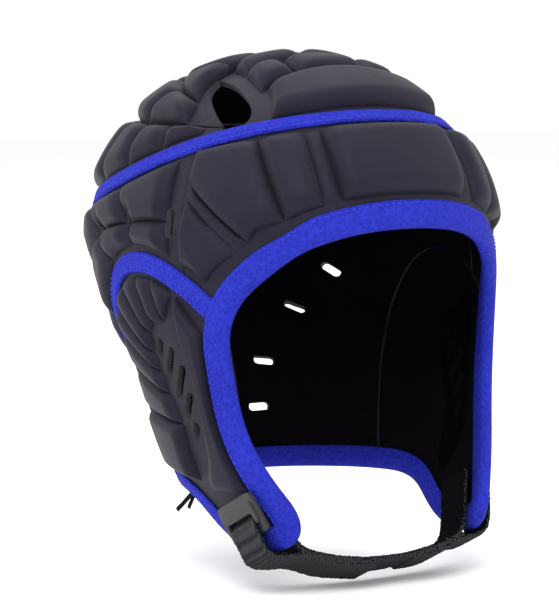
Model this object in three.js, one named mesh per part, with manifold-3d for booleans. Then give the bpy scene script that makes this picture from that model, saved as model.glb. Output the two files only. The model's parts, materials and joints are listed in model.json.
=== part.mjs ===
// Rugby scrum cap: foam panels with raised pads, tape over every seam and edge, a chin strap
// through a moulded ring, and the two ends of the rear lace.
// Millimetres, +Z up. The face looks along -Y and the wearer's left is +X. The origin is the
// point of the lining where the crown of the head touches it.
import * as THREE from "three";
import { mergeVertices } from "three/addons/utils/BufferGeometryUtils.js";
import Module from "manifold-3d";

const wasm = await Module();
wasm.setup();

// Head hollow, measured to the lining
const HEAD_HALF_WIDTH = 82;
const HEAD_FRONT = 99;
const HEAD_BACK = 103;
const CROWN_RISE = 77;
const SKIRT_DROP = 150;
const HEAD_SQUARENESS = 2.15;

// Foam and fabric
const SHEET = 3;
const PAD_HEIGHT = 7;
const PAD_SHOULDER = 4.2;
const SEAM_GAP = 1.2;
const CLEARANCE = 0.3;

// Tapes
const TAPE = 1.3;
const CROWN_TAPE_WIDTH = 7.5;
const ARCH_TAPE_WIDTH = 9.5;
const FACE_TAPE_WIDTH = 11;
const NECK_TAPE_WIDTH = 9;

// Slots between the cells and in the ear panel
const SIDE_SLOT_WIDTH = 4;
const EAR_SLOT_WIDTH = 4.5;

// Chin strap, its ring and the lace
const STRAP_WIDTH = 20;
const STRAP = 2.4;
const STRAP_TILT = 25;
const STRAP_PATCH = 26;
const CHIN_DROP = 27;
const FREE_END = 50;
const RING_LENGTH = 29;
const RING_HEIGHT = 19;
const RING_PLATE = 2.2;
const RING_RIM = 2.4;
const RING_RIM_RAISE = 1.2;
const RING_CORNER = 2;
const RING_BAR = 5;
const SLOT_ROOM = 1.4;
const SLOT_CORNER = 1;
const LACE_WIDTH = 3.6;
const LACE = 1.6;

// Length of a facet along a border, inside a plain cell, on a pad and round the chin tab, and how
// far facets may lie off the true curve
const FACET = 12;
const FIELD_FACET = 12;
const TAB_FACET = 8;
const PAD_FACET = 19;
const FACET_SAG = 0.45;

// The seam round the crown: its mean rise and how much higher it lies at the brow, as shares of
// a quarter turn from the head's widest level to the crown
const RING_RISE = 0.275;
const RING_TILT = 0.22;

// Level sections of the hollow below its widest level. drop: share of SKIRT_DROP. width: share
// of HEAD_HALF_WIDTH. forward and front: shares of HEAD_FRONT. back: share of HEAD_BACK.
const SECTIONS = [
  { drop: 0.0, width: 1.0, forward: 0.0, front: 1.0, back: 1.0 },
  { drop: 0.2, width: 0.985, forward: 0.06, front: 0.99, back: 0.825 },
  { drop: 0.4, width: 0.915, forward: 0.2, front: 0.9, back: 0.73 },
  { drop: 0.6, width: 0.84, forward: 0.32, front: 0.8, back: 0.757 },
  { drop: 0.8, width: 0.715, forward: 0.43, front: 0.7, back: 0.796 },
  { drop: 1.0, width: 0.58, forward: 0.525, front: 0.62, back: 0.825 },
];

// The edge of the whole shell, from the middle of the brow round the chin tab to the nape.
// turn: degrees from the brow. rise: share of SKIRT_DROP below the widest level, where negative,
// and share of the quarter turn above it.
const EDGE_ROWS = [
  { turn: 0, rise: 0.072 },
  { turn: 16, rise: 0.052 },
  { turn: 29, rise: -0.006 },
  { turn: 39, rise: -0.08 },
  { turn: 48, rise: -0.16 },
  { turn: 54.5, rise: -0.26 },
  { turn: 58.5, rise: -0.38 },
  { turn: 60.5, rise: -0.5 },
  { turn: 59.5, rise: -0.6 },
  { turn: 55, rise: -0.7 },
  { turn: 50, rise: -0.775 },
  { turn: 50.5, rise: -0.835 },
  { turn: 58, rise: -0.878 },
  { turn: 72, rise: -0.897 },
  { turn: 86, rise: -0.893 },
  { turn: 97, rise: -0.867 },
  { turn: 104, rise: -0.83 },
  { turn: 110, rise: -0.79 },
  { turn: 119, rise: -0.766 },
  { turn: 132, rise: -0.762 },
  { turn: 155, rise: -0.766 },
  { turn: 180, rise: -0.768 },
];

// The seam that arches over the ear, from the face edge to the nape edge
const ARCH_ROWS = [
  { turn: 52.5, rise: -0.228 },
  { turn: 58, rise: -0.182 },
  { turn: 63, rise: -0.141 },
  { turn: 69, rise: -0.106 },
  { turn: 78, rise: -0.071 },
  { turn: 86, rise: -0.062 },
  { turn: 96, rise: -0.076 },
  { turn: 104, rise: -0.12 },
  { turn: 110, rise: -0.19 },
  { turn: 115, rise: -0.27 },
  { turn: 121, rise: -0.4 },
  { turn: 125, rise: -0.52 },
  { turn: 128, rise: -0.64 },
  { turn: 130, rise: -0.762 },
];

// Lines between the folds of the forehead, from the middle to the temple. foot: share of the
// face edge as far as the arch, and past 1 of the arch as far as the temple. head: share of the
// crown seam as far as the temple, and past 1 of the seam down the temple. lift: height of the
// fold that ends at the line, as a share of PAD_HEIGHT, 0 for a plain strip.
const BROW_LINES = [
  { foot: 0.3, head: 0.35, lift: 1 },
  { foot: 0.385, head: 0.43, lift: 0.25 },
  { foot: 0.54, head: 0.66, lift: 0.8 },
  { foot: 0.66, head: 1.27, lift: 0.8 },
  { foot: 0.74, head: 1.38, lift: 0.35 },
  { foot: 1.93, head: 1.8, lift: 0.7 },
];

// Lines between the columns of cells of the back panel. inner: share of the arch beyond the
// temple. outer: share of the crown seam from the temple to the back, and past 1 of the seam
// down the middle of the back. split: where the two cells meet, as a share of the line. lift: of
// the cells that end at the line.
const SIDE_LINES = [
  { inner: 0.0, outer: 0.0, split: 0.39, lift: 0 },
  { inner: 0.05, outer: 0.04, split: 0.39, lift: 0 },
  { inner: 0.2, outer: 0.28, split: 0.42, lift: 0.8 },
  { inner: 0.34, outer: 0.49, split: 0.48, lift: 0.8 },
  { inner: 0.52, outer: 0.86, split: 0.39, lift: 0.75 },
  { inner: 0.64, outer: 1.22, split: 0.47, lift: 0.7 },
  { inner: 0.73, outer: 1.56, split: 0.68, lift: 0.7 },
  { inner: 0.83, outer: 1.77, split: 0.78, lift: 0.7 },
];

// Slots between the cells, from the outer to the inner end
const SIDE_SLOTS = [
  { turn: 70.5, rise: 0.125, endTurn: 70.5, endRise: 0.02 },
  { turn: 93, rise: 0.111, endTurn: 90, endRise: 0.024 },
  { turn: 113, rise: 0.055, endTurn: 109, endRise: -0.005 },
  { turn: 139, rise: -0.133, endTurn: 133, endRise: -0.17 },
  { turn: 153.5, rise: -0.257, endTurn: 147, endRise: -0.285 },
  { turn: 171, rise: -0.431, endTurn: 163, endRise: -0.44 },
  { turn: 176, rise: -0.581, endTurn: 168, endRise: -0.579 },
];

// Lines between the petals of the ear panel, from the face to the nape. edge and arch: shares of
// the whole edge and arch. ridge: turn and rise of the rear side of the cheek ridge. stem: turn and
// rise of the petal's foot. lift: of the petal that ends at the line.
const EAR_LINES = [
  { edge: 0.287, ridge: [70.5, -0.15], stem: [72, -0.15], arch: 0.2, lift: 0 },
  { edge: 0.315, ridge: [70.3, -0.215], stem: [78, -0.236], arch: 0.275, lift: 0.6 },
  { edge: 0.345, ridge: [70.5, -0.28], stem: [84, -0.24], arch: 0.345, lift: 0.6 },
  { edge: 0.375, ridge: [71.5, -0.35], stem: [88.5, -0.275], arch: 0.43, lift: 0.6 },
  { edge: 0.405, ridge: [73.3, -0.43], stem: [91.5, -0.335], arch: 0.51, lift: 0.6 },
  { edge: 0.43, ridge: [75.3, -0.51], stem: [92.8, -0.39], arch: 0.585, lift: 0.6 },
  { edge: 0.455, ridge: [79, -0.61], stem: [92.8, -0.455], arch: 0.68, lift: 0.6 },
  { edge: 0.468, ridge: [90, -0.735], stem: [91, -0.54], arch: 0.79, lift: 0.6 },
  { edge: 0.715, ridge: [94.5, -0.745], stem: [97, -0.71], arch: 0.945, lift: 0.75 },
];
const RIDGE_LIFT = 0.65;

// Where the front end of the ear panel follows the arch, from the face edge up, as shares of the
// arch, and where its rear end follows the nape edge, as shares of the whole edge
const EAR_FRONT = [0.06, 0.155, 0.17, 0.18, 0.19];
const EAR_REAR = [0.785, 0.792, 0.799, 0.806];
const REAR_PETAL_FOOT = 0.6;

// Ear slots, each from its front end to its rear end
const EAR_SLOTS = [
  { turn: 84, rise: -0.285, endTurn: 90, endRise: -0.345 },
  { turn: 79.5, rise: -0.306, endTurn: 89, endRise: -0.4 },
  { turn: 77.5, rise: -0.36, endTurn: 88, endRise: -0.465 },
  { turn: 79, rise: -0.44, endTurn: 87, endRise: -0.52 },
  { turn: 81.5, rise: -0.53, endTurn: 86, endRise: -0.58 },
];

// Outline of the crown panels in plan. aside: share of HEAD_HALF_WIDTH. ahead: share of
// HEAD_FRONT, negative behind the ears. The vent lies between its front and its rear edge.
const VENT_FRONT_EDGE = [
  { aside: 0.585, ahead: 0.44 },
  { aside: 0.49, ahead: 0.21 },
  { aside: 0.44, ahead: -0.03 },
];
const VENT_REAR_EDGE = [
  { aside: 0.66, ahead: 0.25 },
  { aside: 0.56, ahead: 0.06 },
  { aside: 0.44, ahead: -0.036 },
];
const VENT_FRONT_TURN = 53;
const VENT_REAR_TURN = 58;

// Rows of crown cells. near and far: shares of the way from the seam to the line across the top
// of the head. cuts: shares of the row's width from vent to vent. lifts: one for each cell.
const CROWN_FRONT_ROWS = [
  { near: 0, far: 0.08, cuts: [0, 1], lifts: [0] },
  { near: 0.08, far: 0.5, cuts: [0, 0.13, 0.87, 1], lifts: [0, 1, 0] },
  { near: 0.5, far: 0.77, cuts: [0, 0.09, 0.31, 0.69, 0.91, 1], lifts: [0, 1, 1, 1, 0] },
  { near: 0.77, far: 1, cuts: [0, 0.1, 0.5, 0.9, 1], lifts: [0, 1, 1, 0] },
];
const CROWN_REAR_ROWS = [
  {
    near: 0,
    far: 0.4,
    cuts: [0, 0.08, 0.22, 0.36, 0.5, 0.64, 0.78, 0.92, 1],
    lifts: [0, 1, 1, 1, 1, 1, 1, 0],
  },
  { near: 0.4, far: 0.86, cuts: [0, 0.08, 0.29, 0.5, 0.71, 0.92, 1], lifts: [0, 1, 1, 1, 1, 0] },
  { near: 0.86, far: 1, cuts: [0, 0.1, 0.5, 0.9, 1], lifts: [0, 0.9, 0.9, 0] },
];
const REAR_SEAM_RISE = 0.445;
const REAR_BAND_PADS = 12;
const BAND_PAD_TURN = 66;
const BAND_LIFT = 0.85;

const degrees = THREE.MathUtils.degToRad;
const QUARTER = Math.PI / 2;

// Monotone cubic through one column of SECTIONS, so that no section bulges past its neighbours
function sectionColumn(column, drop) {
  const x = SECTIONS.map((row) => row.drop);
  const y = SECTIONS.map((row) => row[column]);
  const slope = x.slice(1).map((next, i) => (y[i + 1] - y[i]) / (next - x[i]));
  const tangent = x.map((_, i) => {
    if (i === 0) return slope[0];
    if (i === slope.length) return slope[i - 1];
    return slope[i - 1] * slope[i] > 0 ? (2 * slope[i - 1] * slope[i]) / (slope[i - 1] + slope[i]) : 0;
  });
  let i = 0;
  while (i < slope.length - 1 && drop > x[i + 1]) i += 1;
  const span = x[i + 1] - x[i];
  const t = THREE.MathUtils.clamp((drop - x[i]) / span, 0, 1);
  const start = y[i] * (1 + 2 * t) * (1 - t) ** 2 + tangent[i] * span * t * (1 - t) ** 2;
  const end = y[i + 1] * t * t * (3 - 2 * t) + tangent[i + 1] * span * t * t * (t - 1);
  return start + end;
}

// Radius of a level section in the direction of turn: a rounded square of unequal half axes
function sectionRadius(turn, width, front, back) {
  const along = Math.cos(turn) > 0 ? front : back;
  const across = Math.abs(Math.sin(turn) / width) ** HEAD_SQUARENESS;
  const lengthwise = Math.abs(Math.cos(turn) / along) ** HEAD_SQUARENESS;
  return (across + lengthwise) ** (-1 / HEAD_SQUARENESS);
}

// Point of the lining for a turn in degrees and a rise
function liningPoint(turnDegrees, rise) {
  const turn = degrees(turnDegrees);
  if (rise >= 0) {
    const climb = Math.min(rise, 1) * QUARTER;
    const radius = sectionRadius(turn, HEAD_HALF_WIDTH, HEAD_FRONT, HEAD_BACK) * Math.cos(climb);
    return new THREE.Vector3(radius * Math.sin(turn), -radius * Math.cos(turn), CROWN_RISE * Math.sin(climb));
  }
  const width = sectionColumn("width", -rise) * HEAD_HALF_WIDTH;
  const front = sectionColumn("front", -rise) * HEAD_FRONT;
  const back = sectionColumn("back", -rise) * HEAD_BACK;
  const forward = sectionColumn("forward", -rise) * HEAD_FRONT;
  const radius = sectionRadius(turn, width, front, back);
  return new THREE.Vector3(radius * Math.sin(turn), -radius * Math.cos(turn) - forward, rise * SKIRT_DROP);
}

// Point of the lining's dome above a place in plan
function domePoint(x, y) {
  const turn = Math.atan2(x, -y);
  const reach = Math.hypot(x, y) / sectionRadius(turn, HEAD_HALF_WIDTH, HEAD_FRONT, HEAD_BACK);
  return new THREE.Vector3(x, y, CROWN_RISE * Math.sqrt(Math.max(0, 1 - Math.min(1, reach) ** 2)));
}

// A way to place a flat pair of numbers on the shell: the lining point, the directions in which
// each number grows, and the outward normal
function surfaceFrame(place, a, b, stepA, stepB) {
  const alongA = place(a + stepA, b).sub(place(a - stepA, b)).divideScalar(2 * stepA);
  const alongB = place(a, b + stepB).sub(place(a, b - stepB)).divideScalar(2 * stepB);
  return { point: place(a, b), alongA, alongB, normal: alongA.clone().cross(alongB).normalize() };
}

const TURN_STEP = 0.05;
const RISE_STEP = 0.0005;
const PLAN_STEP = 0.05;
const onShell = (turn, rise) => surfaceFrame(liningPoint, turn, rise, TURN_STEP, RISE_STEP);
const onDome = (x, y) => surfaceFrame(domePoint, x, y, PLAN_STEP, PLAN_STEP);
const raised = (frame, height) => frame.point.clone().addScaledVector(frame.normal, height);

// Degrees of turn per unit of rise that look alike on the shell, for curves drawn in both
const TURN_PER_RISE = 100;
const TRAIL_STEPS = 240;

// A line on the shell through rows of turn and rise, followed by length. A line that meets the
// middle of the cap is mirrored there, so that it crosses it squarely.
class Trail {
  constructor(rows, { mirrorStart = false, mirrorEnd = false } = {}) {
    const points = rows.map((row) => new THREE.Vector3(row.turn / TURN_PER_RISE, row.rise, 0));
    const first = rows[1];
    const last = rows[rows.length - 2];
    const head = mirrorStart ? [new THREE.Vector3(-first.turn / TURN_PER_RISE, first.rise, 0)] : [];
    const tail = mirrorEnd ? [new THREE.Vector3((360 - last.turn) / TURN_PER_RISE, last.rise, 0)] : [];
    const curve = new THREE.CatmullRomCurve3([...head, ...points, ...tail], false, "centripetal");
    const spans = head.length + points.length + tail.length - 1;
    const from = head.length / spans;
    const to = (spans - tail.length) / spans;
    this.stations = [];
    let length = 0;
    let previous = null;
    for (let i = 0; i <= TRAIL_STEPS; i += 1) {
      const p = curve.getPoint(from + ((to - from) * i) / TRAIL_STEPS);
      const place = liningPoint(p.x * TURN_PER_RISE, p.y);
      if (previous) length += place.distanceTo(previous);
      previous = place;
      this.stations.push({ length, turn: p.x * TURN_PER_RISE, rise: p.y });
    }
    this.length = length;
  }

  // Turn and rise at a share of the line's length
  at(share) {
    const goal = THREE.MathUtils.clamp(share, 0, 1) * this.length;
    let i = 1;
    while (i < this.stations.length - 1 && this.stations[i].length < goal) i += 1;
    const [p, q] = [this.stations[i - 1], this.stations[i]];
    const t = (goal - p.length) / (q.length - p.length);
    return [p.turn + t * (q.turn - p.turn), p.rise + t * (q.rise - p.rise)];
  }

  // Turn and rise beside the line by a distance along the shell, positive up and away from the
  // face or the ear
  beside(share, distance) {
    const small = 0.5 / this.length;
    const [turn, rise] = this.at(share);
    const before = liningPoint(...this.at(share - small));
    const after = liningPoint(...this.at(share + small));
    const frame = onShell(turn, rise);
    const across = frame.normal.clone().cross(after.sub(before)).normalize();
    const [aa, ab, bb] = [
      frame.alongA.dot(frame.alongA),
      frame.alongA.dot(frame.alongB),
      frame.alongB.dot(frame.alongB),
    ];
    const [ca, cb] = [across.dot(frame.alongA), across.dot(frame.alongB)];
    const scale = distance / (aa * bb - ab * ab);
    return [turn + (ca * bb - cb * ab) * scale, rise + (cb * aa - ca * ab) * scale];
  }

  // Share of the length at which a test of turn and rise first holds
  find(test) {
    const found = this.stations.find((s) => test(s.turn, s.rise));
    return found.length / this.length;
  }

  // Share of the length nearest to a place
  nearest(turn, rise) {
    const goal = liningPoint(turn, rise);
    const gap = (s) => liningPoint(s.turn, s.rise).distanceTo(goal);
    const best = this.stations.reduce((a, b) => (gap(b) < gap(a) ? b : a));
    return best.length / this.length;
  }
}

const TEMPLE_TURN = 66;
const ringRise = (turn) => RING_RISE + RING_TILT * Math.cos(degrees(turn));
const RING_ROWS = Array.from({ length: 19 }, (_, i) => ({ turn: i * 10, rise: ringRise(i * 10) }));

const edge = new Trail(EDGE_ROWS, { mirrorStart: true, mirrorEnd: true });
const arch = new Trail(ARCH_ROWS);
const ring = new Trail(RING_ROWS, { mirrorStart: true, mirrorEnd: true });

// Straight seams down the temple and down the middle of the back
const upright = (turn, from, to) =>
  new Trail([{ turn, rise: from }, { turn, rise: (from + to) / 2 }, { turn, rise: to }]);
const templeShare = arch.find((turn) => turn > TEMPLE_TURN);
const templeSeam = upright(TEMPLE_TURN, ringRise(TEMPLE_TURN), arch.at(templeShare)[1]);
const backSeam = upright(180, ringRise(180), edge.at(1)[1]);

const mix = (p, q, t) => [p[0] + (q[0] - p[0]) * t, p[1] + (q[1] - p[1]) * t];

// Faces of three points each as a solid
function solid(faces) {
  const soup = new THREE.BufferGeometry();
  const numbers = faces.flat().flatMap((p) => [p.x, p.y, p.z]);
  soup.setAttribute("position", new THREE.Float32BufferAttribute(numbers, 3));
  return solidOf(soup);
}

// A closed mesh as a solid. The winding is turned if the faces look inwards.
function solidOf(geometry) {
  geometry.deleteAttribute("normal");
  geometry.deleteAttribute("uv");
  const merged = mergeVertices(geometry, 1e-4);
  const index = Array.from(merged.index.array);
  const triangles = [];
  for (let i = 0; i < index.length; i += 3) {
    const [a, b, c] = index.slice(i, i + 3);
    if (a !== b && b !== c && c !== a) triangles.push(a, b, c);
  }
  const vertProperties = merged.attributes.position.array;
  const make = (list) =>
    new wasm.Manifold(new wasm.Mesh({ numProp: 3, vertProperties, triVerts: new Uint32Array(list) }));
  const made = make(triangles);
  if (made.volume() >= 0) return made;
  for (let i = 0; i < triangles.length; i += 3) {
    [triangles[i + 1], triangles[i + 2]] = [triangles[i + 2], triangles[i + 1]];
  }
  return make(triangles);
}

const shares = (count, from = 0, to = 1) =>
  Array.from({ length: count + 1 }, (_, i) => from + ((to - from) * i) / count);

// Triangles between two rows of points that run the same way, each point with its share along
function bridge(first, second) {
  const faces = [];
  let [i, j] = [0, 0];
  while (i < first.length - 1 || j < second.length - 1) {
    const endsSecond = j === second.length - 1;
    const sooner = i < first.length - 1 && !endsSecond && first[i + 1].along <= second[j + 1].along;
    if (endsSecond || sooner) {
      faces.push([first[i].point, first[i + 1].point, second[j].point]);
      i += 1;
    } else {
      faces.push([first[i].point, second[j + 1].point, second[j].point]);
      j += 1;
    }
  }
  return faces;
}

// Share of the way from p to q at which r lies, where it lies between them
function shareBetween(p, q, r) {
  const [x, y] = [q[0] - p[0], q[1] - p[1]];
  const t = ((r[0] - p[0]) * x + (r[1] - p[1]) * y) / (x * x + y * y);
  const off = Math.hypot(p[0] + x * t - r[0], p[1] + y * t - r[1]);
  const NEAR = 1e-6;
  return t > NEAR && t < 1 - NEAR && off < NEAR ? t : null;
}

// A side of a cell as places, cut where a neighbour's corner lies on it and then into facets,
// so that both cells of a side have the same places
const SIDE_STEPS = 8;

function cellSide(frameAt, p, q, corners) {
  const stops = corners.map((r) => [shareBetween(p, q, r), r]).filter(([t]) => t !== null);
  const sorted = [p, ...stops.sort((m, n) => m[0] - n[0]).map(([, r]) => r), q];
  const distinct = sorted.filter((r, i) => i === 0 || placeKey(r) !== placeKey(sorted[i - 1]));
  const places = [];
  distinct.slice(1).forEach((to, i) => {
    const from = distinct[i];
    const forward = placeKey(from) < placeKey(to);
    const [start, end] = forward ? [from, to] : [to, from];
    const walk = shares(SIDE_STEPS).map((t) => frameAt(...mix(start, end, t)).point);
    const reach = walk.slice(1).reduce((sum, point, k) => sum + point.distanceTo(walk[k]), 0);
    const count = Math.max(1, Math.round(reach / FACET));
    const list = shares(count).map((t) => mix(start, end, t));
    places.push(...(forward ? list : list.reverse()).slice(0, -1));
  });
  return places;
}

const placeKey = (place) => place.map((value) => value.toFixed(5)).join(" ");

// A panel of cells that meet along shared sides, from the lining up. Each cell has four corners
// in the panel's own pair of numbers, in order round it, and the lift of its pad.
function quilt(frameAt, cells) {
  const corners = cells.flatMap((cell) => cell.corners);
  const faces = [];
  const borders = new Map();
  cells.forEach(({ corners: [p, q, r, s], lift, facet = lift > 0 ? PAD_FACET : FIELD_FACET }) => {
    const within = (a, b) => frameAt(...mix(mix(p, q, a), mix(s, r, a), b));
    const wide = within(0, 0.5).point.distanceTo(within(1, 0.5).point);
    const tall = within(0.5, 0).point.distanceTo(within(0.5, 1).point);
    const sides = [[p, q], [q, r], [r, s], [s, p]].map(([from, to]) => cellSide(frameAt, from, to, corners));
    const rim = sides.flatMap((side, i) => side.map((place, j) => ({ place, along: i + j / side.length })));
    rim.forEach(({ place }, i) => {
      const next = rim[(i + 1) % rim.length].place;
      const [here, there] = [placeKey(place), placeKey(next)];
      if (borders.has(there + here)) borders.delete(there + here);
      else borders.set(here + there, [place, next]);
    });
    const size = { wide, tall, facet };
    faces.push(...cover(frameAt, within, rim, { ...size, low: SHEET, high: SHEET + lift * PAD_HEIGHT }));
    const under = cover(frameAt, within, rim, { ...size, low: 0, high: 0 });
    faces.push(...under.map(([a, b, c]) => [a, c, b]));
  });
  borders.forEach(([from, to]) => {
    const [a, b] = [frameAt(...from), frameAt(...to)];
    const [topA, topB, lowA, lowB] = [raised(a, SHEET), raised(b, SHEET), raised(a, 0), raised(b, 0)];
    faces.push([topA, lowA, lowB], [topA, lowB, topB]);
  });
  return solid(faces);
}

// Faces of one side of a cell: its rim at one height, joined to a field of facets inside it at
// another, which a pad's shoulder sets in
const MOST_INSET = 0.4;

function cover(frameAt, within, rim, { wide, tall, facet, low, high }) {
  const outer = rim.map(({ place, along }) => ({ along, point: raised(frameAt(...place), low) }));
  outer.push({ along: 4, point: outer[0].point });
  const inset = high > low ? PAD_SHOULDER : 0;
  const [columns, rows] = [wide, tall].map((size) => Math.max(1, Math.round((size - inset) / facet)));
  if (high === low && rows === 1) return bridgeAcross(outer, 0);
  if (high === low && columns === 1) return bridgeAcross(outer, 1);
  const stops = (size, count) => {
    const share = Math.min(inset / size, MOST_INSET);
    return high > low ? shares(count, share, 1 - share) : shares(count).slice(1, -1);
  };
  const [across, upward] = [stops(wide, columns), stops(tall, rows)];
  const field = upward.map((b) => across.map((a) => raised(within(a, b), high)));
  const [lastRow, lastColumn] = [upward.length - 1, across.length - 1];
  const walk = [
    ...across.map((_, i) => [0, i, i / (lastColumn || 1)]),
    ...upward.map((_, j) => [j, lastColumn, 1 + j / (lastRow || 1)]),
    ...across.map((_, i) => [lastRow, lastColumn - i, 2 + i / (lastColumn || 1)]),
    ...upward.map((_, j) => [lastRow - j, 0, 3 + j / (lastRow || 1)]),
  ];
  const inner = walk.map(([j, i, along]) => ({ along, point: field[j][i] }));
  const faces = bridge(outer, inner);
  for (let j = 0; j < lastRow; j += 1) {
    for (let i = 0; i < lastColumn; i += 1) {
      const [a, b, c, d] = [field[j][i], field[j][i + 1], field[j + 1][i + 1], field[j + 1][i]];
      faces.push([a, b, c], [a, c, d]);
    }
  }
  return faces;
}

// Faces of a narrow cell, straight from one long side to the other
function bridgeAcross(outer, turned) {
  const last = outer.length - 1;
  const round = [...outer, ...outer.slice(1).map(({ along, point }) => ({ along: along + 4, point }))];
  const from = round.findIndex(({ along }) => along >= turned);
  const middle = round.findIndex(({ along }) => along >= turned + 2);
  const first = round.slice(from, middle + 1);
  const second = round.slice(middle, from + last + 1).reverse();
  const near = first.map(({ along, point }) => ({ along: Math.min(along - turned, 1), point }));
  const far = second.map(({ along, point }) => ({ along: Math.max(0, turned + 3 - along), point }));
  return bridge(near, far);
}

// A hole through the sheet and its pads between two places, with round ends
function slotCutter(from, to, width) {
  const start = raised(onShell(...from), 0);
  const end = raised(onShell(...to), 0);
  const { normal } = onShell(...mix(from, to, 0.5));
  const along = end.clone().sub(start);
  const length = along.length();
  const shape = new THREE.Shape();
  shape.absarc(length - width / 2, 0, width / 2, -Math.PI / 2, Math.PI / 2, false);
  shape.absarc(width / 2, 0, width / 2, Math.PI / 2, 1.5 * Math.PI, false);
  shape.closePath();
  const depth = 4 * (SHEET + PAD_HEIGHT);
  const prism = new THREE.ExtrudeGeometry(shape, { depth, bevelEnabled: false, curveSegments: 2 });
  along.normalize();
  const side = normal.clone().cross(along).normalize();
  const lift = along.clone().cross(side).normalize();
  prism.translate(0, 0, -depth / 2);
  prism.applyMatrix4(new THREE.Matrix4().makeBasis(along, side, lift).setPosition(start));
  return solidOf(prism);
}

// Joins solids and cuts others out of them
const join = (solids) => solids.slice(1).reduce((whole, next) => whole.add(next), solids[0]);
const cut = (whole, cutters) => cutters.reduce((rest, next) => rest.subtract(next), whole);

// A solid as the mirror image on the other side of the cap
function mirrored(whole) {
  const mesh = whole.getMesh();
  const geometry = new THREE.BufferGeometry();
  geometry.setAttribute("position", new THREE.BufferAttribute(new Float32Array(mesh.vertProperties), 3));
  geometry.setIndex(new THREE.BufferAttribute(new Uint32Array(mesh.triVerts), 1));
  return solidOf(geometry.applyMatrix4(new THREE.Matrix4().makeScale(-1, 1, 1)));
}

// Tape along stations of a line: its section is a closed outline of distance beside the line
// and height above the lining
function tape(stations, section, closed = false) {
  const rings = stations.map((station) => section.map(([distance, height]) => station(distance, height)));
  const faces = [];
  const last = closed ? rings.length : rings.length - 1;
  for (let i = 0; i < last; i += 1) {
    const [here, next] = [rings[i], rings[(i + 1) % rings.length]];
    here.forEach((a, j) => {
      const k = (j + 1) % section.length;
      faces.push([a, next[j], next[k]], [a, next[k], here[k]]);
    });
  }
  if (!closed) {
    const flat = section.map(([x, y]) => new THREE.Vector2(x, y));
    const [start, end] = [rings[0], rings[rings.length - 1]];
    THREE.ShapeUtils.triangulateShape(flat, []).forEach(([a, b, c]) => {
      faces.push([start[a], start[b], start[c]], [end[c], end[b], end[a]]);
    });
  }
  return solid(faces);
}

// Station of a tape on a line of the wearer's left, or of its mirror image
function stationOf(trail, share, side) {
  return (distance, height) => {
    const [turn, rise] = trail.beside(share, distance);
    return raised(onShell(side * turn, rise), height);
  };
}

// Height at which a tape lies on the sheets, and the height of its inner leg under the lining
const TAPE_SEAT = SHEET + CLEARANCE + FACET_SAG;
const INNER_SEAT = -CLEARANCE - FACET_SAG;
const TAPE_EDGE = 0.6 * TAPE;

// Flat tape with a slightly domed face, centred on its line
function flatSection(width) {
  const half = width / 2;
  return [
    [-half, TAPE_SEAT],
    [half, TAPE_SEAT],
    [half, TAPE_SEAT + TAPE_EDGE],
    [0, TAPE_SEAT + TAPE],
    [-half, TAPE_SEAT + TAPE_EDGE],
  ];
}

// Folded tape round an edge: outer leg, round fold and inner leg, open towards the shell
function foldedSection(width) {
  return [
    [width, TAPE_SEAT],
    [width, TAPE_SEAT + TAPE_EDGE],
    [width / 2, TAPE_SEAT + TAPE],
    [0, TAPE_SEAT + TAPE_EDGE / 2],
    [-TAPE / 2, (TAPE_SEAT + INNER_SEAT) / 2],
    [0, INNER_SEAT - TAPE_EDGE / 2],
    [width / 2, INNER_SEAT - TAPE],
    [width, INNER_SEAT - TAPE_EDGE],
    [width, INNER_SEAT],
    [TAPE, INNER_SEAT],
    [TAPE, TAPE_SEAT],
  ];
}

// Inset of a sheet from the edge line, behind the fold of the tape
const EDGE_INSET = TAPE + CLEARANCE + FACET_SAG;

const archStart = arch.find((turn, rise) => {
  const share = edge.nearest(turn, rise);
  return liningPoint(...edge.at(share)).distanceTo(liningPoint(turn, rise)) > EDGE_INSET;
});
const archEnd = 1 - EDGE_INSET / arch.length;
const jointShare = edge.nearest(...arch.at(0));
const napeShare = edge.nearest(...arch.at(1));

// Where the face tape and the neck tape meet, at the tip of the chin tab
const TAB_TIP_TURN = 64;
const tabTipShare = edge.find((turn, rise) => rise < -0.8 && turn > TAB_TIP_TURN);
const tapeEndGap = CLEARANCE / edge.length;
const HALF_GAP = SEAM_GAP / 2;

// Place that a run of a line through rows reaches between two of the rows, counted from 0
function between(values, s) {
  const i = Math.max(0, Math.min(Math.floor(s), values.length - 2));
  return THREE.MathUtils.lerp(values[i], values[i + 1], s - i);
}

// Count of rows, with its fraction, at which a column of a table reaches a value
function reached(values, goal) {
  const i = values.findIndex((value) => value > goal) - 1;
  return i + (goal - values[i]) / (values[i + 1] - values[i]);
}

// A cell between two lines of a panel, by its low and high share on each
const cell = (from, to, low, high, lift) => ({
  corners: [[from, low[0]], [to, low[1]], [to, high[1]], [from, high[0]]],
  lift,
});

// Frame of a panel whose lines run from a low border to a high one
const ruled = (low, high) => (s, t) => onShell(...mix(low(s), high(s), t));

// Share of a panel's line, from its end on one border, that lies within a distance of that border
const BORDER_STEP = 0.02;

function shareOf(near, far, s, distance) {
  const line = liningPoint(...far(s)).sub(liningPoint(...near(s)));
  const [before, after] = [near(s - BORDER_STEP), near(s + BORDER_STEP)];
  const border = liningPoint(...after).sub(liningPoint(...before)).normalize();
  return distance / line.addScaledVector(border, -line.dot(border)).length();
}

// Plain strips along both borders of a panel, cut where a border turns a corner
function borderStrips(count, start, corner, low, high) {
  const strips = [];
  for (let k = start; k < count; k += 1) {
    const turns = corner > k && corner < k + 1 ? [k, corner, k + 1] : [k, k + 1];
    turns.slice(1).forEach((to, i) => {
      const from = turns[i];
      strips.push(cell(from, to, [low(from), low(to)], [high(from), high(to)], 0));
    });
  }
  return strips;
}

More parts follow.
